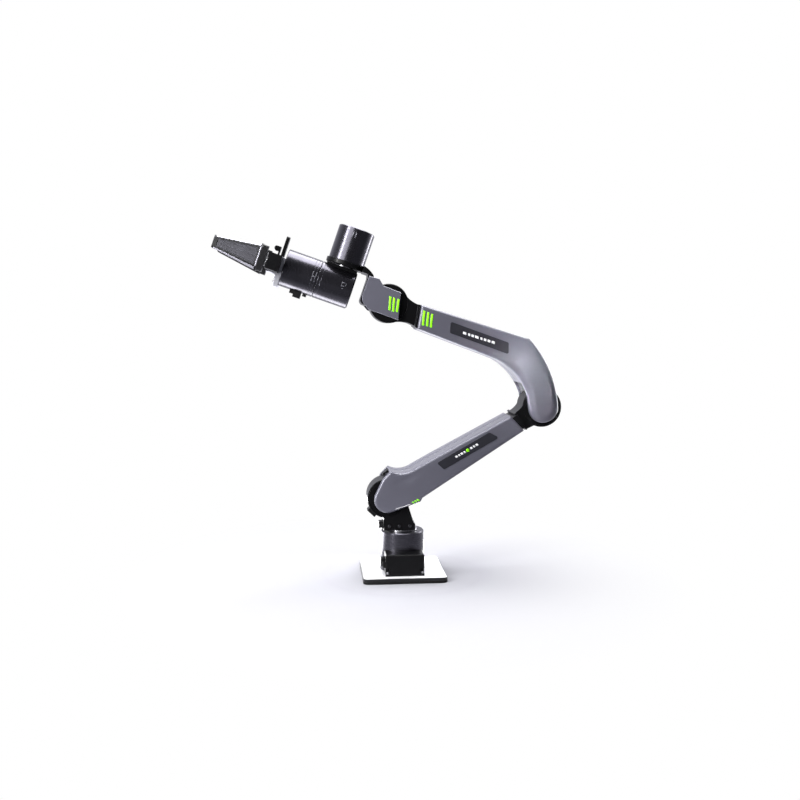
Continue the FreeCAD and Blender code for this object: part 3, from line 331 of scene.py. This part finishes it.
NODE_FINISH = {
    "cover": ("wrist_plate_near", "wrist_plate_far", "upper_cover_near", "upper_cover_far",
              "fore_cover_near", "fore_cover_far"),
    "casting": ("base_housing", "shoulder_yoke", "elbow_bracket", "wrist_bracket", "wrist_cradle",
                "gripper_beam", "camera_bracket", "yaw_saddle"),
    "motor_x": ("roll_motor_case", "gripper_motor_case"),
    "motor_z": ("yaw_motor_case",),
    "motor_base": ("base_motor_case",),
    "motor_y": ("shoulder_motor_case", "elbow_motor_case", "wrist_motor_case"),
    "plate": ("base_plate",),
    "rubber": ("base_pad", "jaw_near_pad", "jaw_far_pad"),
    "frame": ("upper_frame", "fore_frame"),
    "silver": ("gripper_mount",),
    "steel": ("base_bearing", "base_screws", "turret_rotor", "shoulder_rotor", "elbow_rotor", "wrist_rotor",
              "yaw_rotor", "roll_rotor", "guide_rail", "gripper_screws", "drive_pinion",
              "jaw_near_carriage", "jaw_far_carriage"),
    "dark_steel": ("yoke_screws", "upper_cover_screws", "fore_cover_screws"),
    "winding": ("base_stator", "shoulder_stator", "elbow_stator", "wrist_stator", "yaw_stator",
                "roll_stator", "gripper_stator"),
    "socket": ("base_connectors", "shoulder_connector", "turret_socket", "cable_clip", "gripper_connector"),
    "label": ("upper_label", "fore_label"),
    "finger": ("jaw_near_finger", "jaw_far_finger"),
}


def paint_nodes():
    for kind, names in NODE_FINISH.items():
        for name in names:
            slots = nodes[name].data.materials
            if not slots:
                slots.append(MATERIALS[kind])
            for index in range(len(slots)):
                slots[index] = MATERIALS[kind]


# ---------------------------------------------------------------- mesh helpers

def piece(name, mesh, place, body, material, smooth=True):
    """A mesh drawn in a link's frame, as an object that rides on a body."""
    mesh.transform(place)
    for face in mesh.faces:
        face.smooth = smooth
    data = bpy.data.meshes.new(name)
    mesh.to_mesh(data)
    mesh.free()
    data.materials.append(MATERIALS[material])
    made = bpy.data.objects.new(name, data)
    bpy.context.scene.collection.objects.link(made)
    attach(made, body)
    return made


def prism(mesh, corners, y0, y1, soften=0.0):
    """Flat plate with its outline in the link's XZ plane, between y0 and y1, with its y1 rim softened."""
    low = [mesh.verts.new((x, y0, z)) for x, z in corners]
    high = [mesh.verts.new((x, y1, z)) for x, z in corners]
    count = len(corners)
    faces = [mesh.faces.new(low), mesh.faces.new(high[::-1])]
    for i in range(count):
        j = (i + 1) % count
        faces.append(mesh.faces.new((low[j], low[i], high[i], high[j])))
    bmesh.ops.recalc_face_normals(mesh, faces=faces)
    if soften:
        rim = list(faces[1].edges)
        bmesh.ops.bevel(mesh, geom=rim, offset=soften, segments=2, affect="EDGES", profile=0.5)


def round_corners(corners, radius, steps=4):
    """The same outline with each corner as a short arc."""
    out = []
    count = len(corners)
    for i in range(count):
        here = Vector(corners[i])
        to_last = (Vector(corners[i - 1]) - here).normalized()
        to_next = (Vector(corners[(i + 1) % count]) - here).normalized()
        half = to_last.angle(to_next) / 2
        reach = radius / math.tan(half)
        centre = here + (to_last + to_next).normalized() * radius / math.sin(half)
        start = here + to_last * reach - centre
        end = here + to_next * reach - centre
        for k in range(steps + 1):
            spoke = start.lerp(end, k / steps).normalized() * radius
            out.append(tuple(centre + spoke))
    return out


def scaled(points):
    return [(x * MM, z * MM) for x, z in points]


# ---------------------------------------------------------------- painted covers

COVER_ROUND = 4.0
COVER_CROWN = 0.3
CROWN_LENGTH = 5.0
COVER_WALL = 2.6
SEAM_HALF = 0.3
SEAM_SOFT = 0.7
END_R = 20.5
FORE_END_R = 22.9
FORE_ELBOW = (-270.0, -71.0)
BEND_FOOT = 8.0
OUTLINE_GAP = 1.4
# Rings of points inside the outline; those from THIN_FROM on keep every second point
INSETS = (0.25, 0.9, 1.8, 2.9, 4.0, 5.5, 7.5, 10.0, 13.0)
THIN_FROM = 4.0
RING_TOLERANCE = 0.96
GRID_STEP = 4.0
GRID_CLEAR = 2.0
# Dish under the brow: its middle, its reach along and across, and its depth
DISH_AT = (-44.0, 15.0)
DISH_REACH = (17.0, 7.0)
DISH_DEEP = 1.5
# Step to the elbow end: where it starts, which way it climbs, over what length and how high
STEP_AT = (-196.0, -2.0)
STEP_WAY = (-0.86, -0.51)
STEP_LONG = 52.0
STEP_HIGH = 3.6


def tangent_point(x, z, radius, side):
    """Where a line from (x, z) touches a circle about the origin."""
    angle = math.atan2(z, x) + side * math.acos(radius / math.hypot(x, z))
    return radius * math.cos(angle), radius * math.sin(angle)


def arc_points(start, via, end, gap):
    """Points along the circle through three points, without the start."""
    ax, az = via[0] - start[0], via[1] - start[1]
    bx, bz = end[0] - start[0], end[1] - start[1]
    area = 2 * (ax * bz - az * bx)
    cx = (bz * (ax * ax + az * az) - az * (bx * bx + bz * bz)) / area
    cz = (ax * (bx * bx + bz * bz) - bx * (ax * ax + az * az)) / area
    centre = (start[0] + cx, start[1] + cz)
    radius = math.hypot(cx, cz)
    first, middle, last = (math.atan2(p[1] - centre[1], p[0] - centre[0]) for p in (start, via, end))
    sweep = (last - first) % math.tau
    if (middle - first) % math.tau > sweep:
        sweep -= math.tau
    count = max(2, math.ceil(abs(sweep) * radius / gap))
    turns = [first + sweep * k / count for k in range(1, count + 1)]
    return [(centre[0] + radius * math.cos(t), centre[1] + radius * math.sin(t)) for t in turns]


def outline(steps):
    """Closed outline; a step is (x, z) for a line, (x, z, via_x, via_z) for an arc."""
    here = steps[0][:2]
    points = []
    for step in steps[1:] + steps[:1]:
        there = step[:2]
        if len(step) == 4:
            points += arc_points(here, step[2:], there, OUTLINE_GAP)
        else:
            count = max(1, math.ceil(math.dist(here, there) / OUTLINE_GAP))
            points += [(here[0] + (there[0] - here[0]) * k / count,
                        here[1] + (there[1] - here[1]) * k / count) for k in range(1, count + 1)]
        here = there
    return np.array(points)


def upper_outline():
    brow = (-9.0, 30.8)
    chin = (-40.5, -28.3)
    top = tangent_point(brow[0], brow[1], END_R, -1)
    low = tangent_point(chin[0], chin[1], END_R, 1)
    return outline([(-222.0, 14.2), (-92.0, 18.9), (-56.0, 19.6), (-25.0, 35.2, -38.0, 23.4), brow, top,
                    (low[0], low[1], END_R, 0.0), chin, (-46.0, -24.8), (-229.0, -15.3)])


def fore_outline():
    heel = (-240.0, -62.0)
    turn = math.radians(160.0)
    side = tangent_point(heel[0] - FORE_ELBOW[0], heel[1] - FORE_ELBOW[1], FORE_END_R, -1)
    low = (FORE_ELBOW[0] + side[0], FORE_ELBOW[1] + side[1])
    top = (FORE_ELBOW[0] + FORE_END_R * math.cos(turn), FORE_ELBOW[1] + FORE_END_R * math.sin(turn))
    bottom = (FORE_ELBOW[0] - BEND_FOOT, FORE_ELBOW[1] - math.sqrt(FORE_END_R ** 2 - BEND_FOOT ** 2))
    return outline([(-45.4, 13.8), (-51.0, -22.2), (-177.0, -25.6), heel + (-208.5, -35.6), low,
                    top + bottom, (-221.3, 16.1, -265.3, -20.3), (-214.5, 19.5), (-208.0, 18.2)])


def upper_relief(x, z):
    """Shallow dish under the brow at the shoulder end."""
    along, across = (x - DISH_AT[0]) / DISH_REACH[0], (z - DISH_AT[1]) / DISH_REACH[1]
    return -DISH_DEEP * np.exp(-along ** 2 - across ** 2)


def fore_relief(x, z):
    """The elbow end stands a little prouder than the arm; the step is spread over the bend."""
    climb = (x - STEP_AT[0]) * STEP_WAY[0] + (z - STEP_AT[1]) * STEP_WAY[1]
    along = np.clip(climb / STEP_LONG, 0.0, 1.0)
    return STEP_HIGH * along * along * (3 - 2 * along)


def edge_distance(points, edge):
    """Distance of each point from a closed outline."""
    run = np.roll(edge, -1, axis=0) - edge
    length = (run ** 2).sum(axis=1)
    offset = points[:, None, :] - edge[None, :, :]
    share = np.clip((offset * run[None]).sum(axis=2) / length[None], 0, 1)
    gap = offset - share[..., None] * run[None]
    return np.sqrt((gap ** 2).sum(axis=2)).min(axis=1)


def inward(edge):
    """Unit normals of a closed outline, pointing into it."""
    run = np.roll(edge, -1, axis=0) - np.roll(edge, 1, axis=0)
    normal = np.stack((-run[:, 1], run[:, 0]), axis=1)
    normal /= np.linalg.norm(normal, axis=1)[:, None]
    x, z = edge[:, 0], edge[:, 1]
    area = (x * np.roll(z, -1) - z * np.roll(x, -1)).sum()
    return normal if area > 0 else -normal


def inside(points, edge):
    """Whether each point is inside a closed outline, by crossing count."""
    x, z = points[:, 0][:, None], points[:, 1][:, None]
    x0, z0 = edge[:, 0][None], edge[:, 1][None]
    x1, z1 = np.roll(edge, -1, axis=0)[:, 0][None], np.roll(edge, -1, axis=0)[:, 1][None]
    rise = np.where(z1 == z0, 1e-9, z1 - z0)
    crosses = ((z0 > z) != (z1 > z)) & (x < (x1 - x0) * (z - z0) / rise + x0)
    return crosses.sum(axis=1) % 2 == 1


def cheek_points(edge):
    """Rings that follow the outline close to it, and a grid further in."""
    normal = inward(edge)
    kept = [edge]
    for inset in INSETS:
        ring = edge + normal * inset
        good = inside(ring, edge) & (edge_distance(ring, edge) > inset * RING_TOLERANCE)
        kept.append(ring[good][::1 if inset < THIN_FROM else 2])
    low, high = edge.min(axis=0), edge.max(axis=0)
    grid = np.array([(x, z) for x in np.arange(low[0], high[0], GRID_STEP)
                     for z in np.arange(low[1], high[1], GRID_STEP)])
    grid = grid[inside(grid, edge)]
    kept.append(grid[edge_distance(grid, edge) > INSETS[-1] + GRID_CLEAR])
    return np.concatenate(kept)


def cheek_height(points, edge, relief):
    depth = edge_distance(points, edge)
    near_edge = np.clip(COVER_ROUND - depth, 0, COVER_ROUND)
    rounded = np.sqrt(COVER_ROUND ** 2 - near_edge ** 2) - COVER_ROUND
    beyond = np.clip(depth - COVER_ROUND, 0, None)
    crown = -COVER_CROWN * np.exp(-beyond / CROWN_LENGTH)
    fade = np.clip(depth / (3 * COVER_ROUND), 0, 1)
    relief_here = relief(points[:, 0], points[:, 1]) * fade * fade * (3 - 2 * fade)
    return SHELL_HALF / MM + rounded + crown + relief_here


def cover(name, body, node_name, place, side, edge, relief, open_at):
    """One half of a cover: a crowned cheek and a rim that stops at the seam, made into a wall.

    open_at says where along the outline the rim is left out, for the joint's mouth.
    """
    points = cheek_points(edge)
    count = len(edge)
    rim_edges = [(i, (i + 1) % count) for i in range(count)]
    flat, _, faces, origin, _, _ = delaunay_2d_cdt([Vector(p) for p in points], rim_edges, [], 1, 1e-4)
    flat = np.array([tuple(p) for p in flat])
    height = cheek_height(flat, edge, relief)
    mesh = bmesh.new()
    verts = [mesh.verts.new((x * MM, side * y * MM, z * MM)) for (x, z), y in zip(flat, height)]
    for face in faces:
        mesh.faces.new([verts[i] for i in face])
    at_rim = {old: new for new, olds in enumerate(origin) for old in olds if old < count}
    normal = inward(edge)
    levels = ((0.0, SEAM_HALF + SEAM_SOFT), (SEAM_SOFT * 0.6, SEAM_HALF))
    rings = []
    for inset, y in levels:
        ring = edge + normal * inset
        rings.append([mesh.verts.new((x * MM, side * y * MM, z * MM)) for x, z in ring])
    for i, j in rim_edges:
        middle = (edge[i] + edge[j]) / 2
        if open_at(middle[0], middle[1]):
            continue
        upper_pair = (verts[at_rim[i]], verts[at_rim[j]])
        for ring in rings:
            mesh.faces.new((upper_pair[0], upper_pair[1], ring[j], ring[i]))
            upper_pair = (ring[i], ring[j])
    bmesh.ops.delete(mesh, geom=[v for v in mesh.verts if not v.link_faces], context="VERTS")
    bmesh.ops.recalc_face_normals(mesh, faces=mesh.faces)
    cheek = max(mesh.faces, key=lambda face: face.calc_center_median().y * side)
    if cheek.normal.y * side < 0:
        bmesh.ops.reverse_faces(mesh, faces=mesh.faces)
    made = piece(name, mesh, place, body, "cover")
    wall = made.modifiers.new("wall", "SOLIDIFY")
    wall.thickness = COVER_WALL * MM
    wall.offset = -1.0
    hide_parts(node_name)


def shoulder_mouth(x, z):
    return x > -23.0 if z > 0 else x > -47.5


def elbow_mouth(x, z):
    return x < -226.0 and z < -37.0


def make_covers():
    upper, fore = upper_outline(), fore_outline()
    for word, side in (("near", 1), ("far", -1)):
        cover("upper_shell_" + word, "upper_arm", "upper_cover_" + word, UPPER, side, upper,
              upper_relief, shoulder_mouth)
        cover("fore_shell_" + word, "forearm", "fore_cover_" + word, HAND, side, fore,
              fore_relief, elbow_mouth)


# ---------------------------------------------------------------- decals and a painted highlight line

HAND_BARS = (((1.8, 10.1), (-3.5, -9.4)), ((-4.2, 10.0), (-9.2, -9.6)), ((-10.9, 10.1), (-14.7, -8.5)))
FORE_BARS = (((-52.0, 6.6), (-57.1, -14.3)), ((-58.4, 6.3), (-63.4, -13.8)), ((-64.6, 6.0), (-69.2, -13.5)))
PRINT_CORNER = 0.5
PRINT_SUNK = 0.1
CHIN_STRIPES = (-31.0, -35.0, -39.0)
CHIN_STRIPE_LOW = -25.6
CHIN_STRIPE_TOP = -21.7
CHIN_STRIPE_WIDE = 2.2
CHIN_STRIPE_LEAN = 1.6
CHIN_STRIPE_RISE = 0.5
CHIN_HIGHLIGHT_LINE = ((-25.6, -23.6), (-3.0, -18.4), (-3.0, -17.5), (-25.6, -22.6))
DASH_TALL = 3.4
DASH_LEAN = 1.1
UPPER_DASH_Z = 3.6
FORE_DASH_Z = -5.0
FORE_DASH_TILT = -0.028
UPPER_DASHES = ((-120.5, 3.2), (-125.0, 2.6), (-129.4, 3.4), (-134.2, 3.0), (-146.0, 3.4), (-150.8, 2.8),
                (-155.6, 3.6))
UPPER_DOT = (-140.0, 3.6)
DOT_R = 2.6
FORE_DASHES = ((-119.0, 5.2), (-126.0, 3.4), (-131.5, 4.0), (-138.0, 5.6), (-145.2, 3.4), (-151.0, 4.0),
               (-157.2, 4.4), (-163.8, 5.0))


def lime_bars(name, body, ends, y):
    mesh = bmesh.new()
    for (top_x, top_z), (low_x, low_z) in ends:
        half = BAR_WIDE / MM / 2
        corners = [(low_x - half, low_z), (low_x + half, low_z),
                   (top_x + half, top_z), (top_x - half, top_z)]
        prism(mesh, scaled(round_corners(corners, PRINT_CORNER)), y, y + DECAL_THICK, DECAL_THICK / 3)
    piece(name, mesh, HAND, body, "lime")


def fitted(mesh, corners, edge, relief, steps=(4, 4)):
    """Thin patch on the near cheek of a cover; corners run around a quadrilateral in (x, z)."""
    across, along = steps
    low, high = [], []
    for j in range(along + 1):
        start = Vector(corners[0]).lerp(Vector(corners[3]), j / along)
        end = Vector(corners[1]).lerp(Vector(corners[2]), j / along)
        row = np.array([tuple(start.lerp(end, i / across)) for i in range(across + 1)])
        height = cheek_height(row, edge, relief)
        for level, lift in ((low, -PRINT_SUNK), (high, DECAL_THICK / MM)):
            level.append([mesh.verts.new((x * MM, (y + lift) * MM, z * MM))
                          for (x, z), y in zip(row, height)])
    close_grid(mesh, low, high)


def close_grid(mesh, low, high):
    """Faces of a slab between two grids of vertices."""
    rows, count = len(low), len(low[0])
    faces = []
    for grid in (low, high):
        for j in range(rows - 1):
            for i in range(count - 1):
                faces.append(mesh.faces.new((grid[j][i], grid[j][i + 1],
                                             grid[j + 1][i + 1], grid[j + 1][i])))
    rim = [(0, i) for i in range(count)] + [(j, count - 1) for j in range(1, rows)]
    rim += [(rows - 1, i) for i in range(count - 2, -1, -1)] + [(j, 0) for j in range(rows - 2, 0, -1)]
    for here, there in zip(rim, rim[1:] + rim[:1]):
        faces.append(mesh.faces.new((low[here[0]][here[1]], low[there[0]][there[1]],
                                     high[there[0]][there[1]], high[here[0]][here[1]])))
    bmesh.ops.recalc_face_normals(mesh, faces=faces)


def dashes(name, body, place, runs, middle_z, tilt):
    """Row of short leaning strokes in white print on a name panel."""
    mesh = bmesh.new()
    for x, wide in runs:
        z = middle_z + (x - runs[0][0]) * tilt
        rear, front = x - wide / 2, x + wide / 2
        low, high = z - DASH_TALL / 2, z + DASH_TALL / 2
        corners = [(rear - DASH_LEAN, low), (front - DASH_LEAN, low), (front, high), (rear, high)]
        prism(mesh, scaled(round_corners(corners, PRINT_CORNER)), LABEL_OUT, LABEL_OUT + DECAL_THICK,
              DECAL_THICK / 3)
    piece(name, mesh, place, body, "print")


def label_dot():
    mesh = bmesh.new()
    turns = [math.tau * k / 24 for k in range(24)]
    ring = [(UPPER_DOT[0] + DOT_R * math.cos(t), UPPER_DOT[1] + DOT_R * math.sin(t)) for t in turns]
    prism(mesh, scaled(ring), LABEL_OUT, LABEL_OUT + DECAL_THICK, DECAL_THICK / 3)
    piece("label_dot", mesh, UPPER, "upper_arm", "lime")


def chin_marks(edge):
    """Three short lime stripes, and a painted highlight line in white along the upper arm's lower front
    edge.
    """
    mesh = bmesh.new()
    for x in CHIN_STRIPES:
        corners = [(x - CHIN_STRIPE_LEAN, CHIN_STRIPE_LOW),
                   (x - CHIN_STRIPE_LEAN + CHIN_STRIPE_WIDE, CHIN_STRIPE_LOW + CHIN_STRIPE_RISE),
                   (x + CHIN_STRIPE_WIDE, CHIN_STRIPE_TOP + CHIN_STRIPE_RISE), (x, CHIN_STRIPE_TOP)]
        fitted(mesh, corners, edge, upper_relief)
    piece("chin_stripes", mesh, UPPER, "upper_arm", "lime")
    # The pale line along the lower front edge is a painted highlight, in the white print's colour.
    mesh = bmesh.new()
    fitted(mesh, CHIN_HIGHLIGHT_LINE, edge, upper_relief, (12, 2))
    piece("chin_painted_highlight", mesh, UPPER, "upper_arm", "print")


def make_decals_and_highlight_line():
    lime_bars("hand_bars", "wrist_pitch", HAND_BARS, PLATE_OUT)
    lime_bars("forearm_bars", "forearm", FORE_BARS, SHELL_HALF)
    dashes("upper_label_dashes", "upper_arm", UPPER, UPPER_DASHES, UPPER_DASH_Z, 0.0)
    dashes("fore_label_dashes", "forearm", HAND, FORE_DASHES, FORE_DASH_Z, FORE_DASH_TILT)
    label_dot()
    chin_marks(upper_outline())


# ---------------------------------------------------------------- fingers, their painted highlight strips and motor marks

# Panel and strips on a finger's face: where each starts and ends, and its z at the rear and at the front.
# The cross strip is a painted highlight line at the finger's base
PANEL = (202.0, 258.6, (-12.0, 12.0), (-5.2, 5.2))
CROSS_HIGHLIGHT = (198.4, 199.6, (-14.0, 14.0), (-14.0, 14.0))
PANEL_THICK = 0.45
CROSS_THICK = 0.16
CROSS_LIFT = 0.02
RIB_FROM = 203.5
RIB_TO = 256.0
RIB_SPREAD_REAR = 11.0
RIB_SPREAD_FRONT = 5.0
RIB_HALF_REAR = 0.7
RIB_HALF_FRONT = 0.35
RIB_RISE = 0.4
RIB_THICK = 0.6
RIB_PLACES = (-0.8, 0.0, 0.8)
STRIP_THICK = 0.18
PATCH_STEP = 3
# Painted highlight strip on a finger's bevel: (x, y, z) of its edge nearer the jaw gap and of its edge
# nearer the face
BEVEL_HIGHLIGHT_REAR = ((200.0, 48.2, 19.1), (200.0, 50.2, 15.9))
BEVEL_HIGHLIGHT_FRONT = ((263.0, 43.4, 9.4), (263.0, 44.4, 7.7))
# Marks printed on the motors: from and to along the axis in millimetres, from and to around it in degrees
ROLL_MARK = ((68.0, 75.0, 12.0, 14.0), (68.0, 75.0, 1.0, 3.0), (68.0, 69.0, 3.0, 12.0),
             (74.0, 75.0, 3.0, 12.0), (70.4, 72.6, -6.0, -3.6))
SEAM_MARK = ((113.4, 114.2, 0.0, 16.0), (114.2, 118.6, 0.0, 1.8), (118.6, 119.4, 0.0, 16.0))
YAW_MARK = ((72.5, 80.5, -3.0, 1.0), (72.5, 80.5, 6.0, 10.0))


def finger_y(x):
    """Outer face of a finger at a station along it."""
    share = (x - FINGER_BASE_X) / (FINGER_TIP_X - FINGER_BASE_X)
    return FINGER_BASE_Y + (FINGER_TIP_Y - FINGER_BASE_Y) * share


def sheet(mesh, corners, thick):
    """Thin flat slab on four points in space."""
    points = [Vector(c) * MM for c in corners]
    normal = (points[1] - points[0]).cross(points[3] - points[0]).normalized() * thick * MM
    low = [[mesh.verts.new(points[0]), mesh.verts.new(points[1])],
           [mesh.verts.new(points[3]), mesh.verts.new(points[2])]]
    high = [[mesh.verts.new(points[0] + normal), mesh.verts.new(points[1] + normal)],
            [mesh.verts.new(points[3] + normal), mesh.verts.new(points[2] + normal)]]
    close_grid(mesh, low, high)


def along_finger(x0, x1, rear, front, drop):
    """Corners of a tapering strip on the finger's face; rear and front are its (low, high) z."""
    y0, y1 = finger_y(x0) - drop, finger_y(x1) - drop
    return [(x0, y0, rear[0]), (x0, y0, rear[1]), (x1, y1, front[1]), (x1, y1, front[0])]


def finger_panel_and_highlights(word, place):
    body = "jaw_" + word
    mesh = bmesh.new()
    sheet(mesh, along_finger(*PANEL, POCKET_DEEP), PANEL_THICK)
    for share in RIB_PLACES:
        rear, front = RIB_SPREAD_REAR * share, RIB_SPREAD_FRONT * share
        corners = along_finger(RIB_FROM, RIB_TO, (rear - RIB_HALF_REAR, rear + RIB_HALF_REAR),
                               (front - RIB_HALF_FRONT, front + RIB_HALF_FRONT), POCKET_DEEP - RIB_RISE)
        sheet(mesh, corners, RIB_THICK)
    piece(word + "_finger_panel", mesh, place, body, "finger_panel", smooth=False)
    # Pale strips along the finger's bevels and across its base: painted highlight lines.
    mesh = bmesh.new()
    for sign in (-1, 1):
        corners = [(x, y, z * sign) for x, y, z in BEVEL_HIGHLIGHT_REAR + BEVEL_HIGHLIGHT_FRONT[::-1]]
        sheet(mesh, corners if sign > 0 else corners[::-1], STRIP_THICK)
    sheet(mesh, along_finger(*CROSS_HIGHLIGHT, -CROSS_LIFT), CROSS_THICK)
    piece(word + "_finger_painted_highlights", mesh, place, body, "painted_highlight_strip", smooth=False)


def wrapped(mesh, spot, x0, x1, low, high):
    """Thin patch around a motor between two angles in degrees; spot places (length, angle, radius)."""
    steps = max(2, int(abs(high - low) / PATCH_STEP))
    turns = [math.radians(low + (high - low) * k / steps) for k in range(steps + 1)]
    grids = [[[mesh.verts.new(Vector(spot(x, t, reach)) * MM) for x in (x0, x1)] for t in turns]
             for reach in (-PRINT_SUNK, STRIP_THICK)]
    close_grid(mesh, grids[0], grids[1])


def on_roll(x, turn, lift):
    reach = ROLL_R + lift
    return x, reach * math.cos(turn), reach * math.sin(turn)


def on_yaw(z, turn, lift):
    reach = YAW_R + lift
    return YAW_AXIS_X + reach * math.sin(turn), reach * math.cos(turn), z


def motor_marks():
    """Small printed marks on the wrist motors: a square with a bar, a bracket, and two short bars."""
    for name, body, spot, patches in (("roll_mark", "wrist_yaw", on_roll, ROLL_MARK),
                                      ("seam_mark", "gripper", on_roll, SEAM_MARK),
                                      ("yaw_mark", "wrist_pitch", on_yaw, YAW_MARK)):
        mesh = bmesh.new()
        for start, end, low, high in patches:
            wrapped(mesh, spot, start, end, low, high)
        piece(name, mesh, HAND, body, "grey_print")


def make_trim():
    finger_panel_and_highlights("near", HAND)
    finger_panel_and_highlights("far", HAND @ TURNED_OVER)
    motor_marks()


# ---------------------------------------------------------------- studio

ROOM_FRONT = (0.035, 0.035, 0.042)
ROOM_BACK = (0.85, 0.85, 0.93)
FLOOR_TONE = (0.33, 0.33, 0.355)
FLOOR_GLOW_FRONT = (0.16, 0.16, 0.18)
FLOOR_GLOW_BACK = (0.8, 0.8, 0.88)
SHADOW_IN = 0.12
SHADOW_OUT = 0.42
FLOOR_DROP = 0.0002
FLOOR_HALF = 6.0
# Softboxes that look at the middle of the object: name, offset from it, width, height and power
SOFTBOXES = (
    ("top_box", (0.05, -0.10, 1.1), 1.3, 0.9, 46.0),
    ("front_fill", (0.95, 1.45, 0.75), 0.9, 0.7, 13.0),
    ("left_strip", (1.05, 0.75, 0.25), 0.16, 1.1, 28.0),
    ("right_rim", (-1.0, -0.62, 0.1), 0.25, 1.1, 14.0),
)
# Narrow beam on the forearm's bend: where it looks from the elbow axis, and where it stands from there
BEND_LOOK = (0.03, 0.03, 0.06)
BEND_STAND = (0.31, 1.02, 0.22)
BEND_SPREAD = math.radians(9)
# Low light under the hand: where it stands and where it looks
LOW_STAND = (0.16, -0.16, 0.012)
LOW_LOOK = (0.16, -0.05, 0.44)


def aim(place, target):
    back = (Vector(place) - Vector(target)).normalized()
    return Matrix.Translation(Vector(place)) @ back.to_track_quat("Z", "Y").to_matrix().to_4x4()


def softbox(name, place, target, wide, tall, power):
    light = bpy.data.lights.new(name, "AREA")
    light.shape = "RECTANGLE"
    light.size = wide
    light.size_y = tall
    light.energy = power
    made = bpy.data.objects.new(name, light)
    bpy.context.scene.collection.objects.link(made)
    made.matrix_world = aim(place, target)
    return made


def make_lights():
    middle = (cad_box[0] + cad_box[1]) / 2
    for name, offset, wide, tall, power in SOFTBOXES:
        softbox(name, middle + Vector(offset), middle, wide, tall, power)
    bend = ELBOW + Vector(BEND_LOOK)
    glow = softbox("bend_box", bend + Vector(BEND_STAND), bend, 0.1, 0.1, 0.08)
    glow.data.spread = BEND_SPREAD
    low = softbox("low_box", LOW_STAND, LOW_LOOK, 0.5, 0.34, 6.0)
    low.visible_camera = False


def make_world():
    """White to the camera; to the object, bright behind it and dim in front of it."""
    world = bpy.data.worlds.new("studio")
    bpy.context.scene.world = world
    world.use_nodes = True
    tree = world.node_tree
    way = tree.nodes.new("ShaderNodeTexCoord")
    parts = tree.nodes.new("ShaderNodeSeparateXYZ")
    wire(tree, way.outputs["Generated"], parts.inputs["Vector"])
    behind = remap(tree, parts.outputs["Y"], 0.20, -0.45, 0.0, 1.0)
    room = mixed(tree, behind, ROOM_FRONT, ROOM_BACK)
    seen = tree.nodes.new("ShaderNodeLightPath")
    shade = mixed(tree, seen.outputs["Is Camera Ray"], room, (1.0, 1.0, 1.0))
    wire(tree, shade, tree.nodes["Background"].inputs["Color"])


def make_floor():
    """Pale floor that takes the shadow close to the object and fades to plain white."""
    mesh = bmesh.new()
    bmesh.ops.create_grid(mesh, x_segments=1, y_segments=1, size=FLOOR_HALF)
    data = bpy.data.meshes.new("floor")
    mesh.to_mesh(data)
    mesh.free()
    floor = bpy.data.objects.new("floor", data)
    bpy.context.scene.collection.objects.link(floor)
    material = bpy.data.materials.new("pale_floor")
    material.use_nodes = True
    tree = material.node_tree
    shader = tree.nodes["Principled BSDF"]
    shader.inputs["Base Color"].default_value = FLOOR_TONE + (1,)
    shader.inputs["Roughness"].default_value = 0.8
    shader.inputs["Specular IOR Level"].default_value = 0.0
    place = tree.nodes.new("ShaderNodeTexCoord")
    parts = tree.nodes.new("ShaderNodeSeparateXYZ")
    wire(tree, place.outputs["Object"], parts.inputs["Vector"])
    behind = remap(tree, parts.outputs["Y"], 0.3, -0.3, 0.0, 1.0)
    seen = tree.nodes.new("ShaderNodeLightPath")
    glow = tree.nodes.new("ShaderNodeEmission")
    dim = mixed(tree, behind, FLOOR_GLOW_FRONT, FLOOR_GLOW_BACK)
    wire(tree, mixed(tree, seen.outputs["Is Camera Ray"], dim, (1.0, 1.0, 1.0)), glow.inputs["Color"])
    length = tree.nodes.new("ShaderNodeVectorMath")
    length.operation = "LENGTH"
    wire(tree, place.outputs["Object"], length.inputs[0])
    far = remap(tree, length.outputs["Value"], SHADOW_IN, SHADOW_OUT, 0.0, 1.0)
    blend = tree.nodes.new("ShaderNodeMixShader")
    wire(tree, far, blend.inputs["Fac"])
    wire(tree, shader.outputs["BSDF"], blend.inputs[1])
    wire(tree, glow.outputs["Emission"], blend.inputs[2])
    wire(tree, blend.outputs["Shader"], tree.nodes["Material Output"].inputs["Surface"])
    data.materials.append(material)
    floor.location.z = cad_box[0].z - FLOOR_DROP


def make_camera():
    data = bpy.data.cameras.new("camera")
    data.lens = CAMERA_LENS
    data.sensor_width = SENSOR
    data.clip_start = 0.05
    camera = bpy.data.objects.new("camera", data)
    bpy.context.scene.collection.objects.link(camera)
    ahead = Vector((-math.sin(CAMERA_TURN) * math.cos(CAMERA_DIP),
                    -math.cos(CAMERA_TURN) * math.cos(CAMERA_DIP), -math.sin(CAMERA_DIP)))
    camera.matrix_world = aim(CAMERA_PLACE, Vector(CAMERA_PLACE) + ahead)
    bpy.context.scene.camera = camera


def main():
    bpy.context.scene.view_settings.view_transform = "Standard"
    paint_nodes()
    make_covers()
    make_decals_and_highlight_line()
    make_trim()
    make_lights()
    make_world()
    make_floor()
    make_camera()


main()
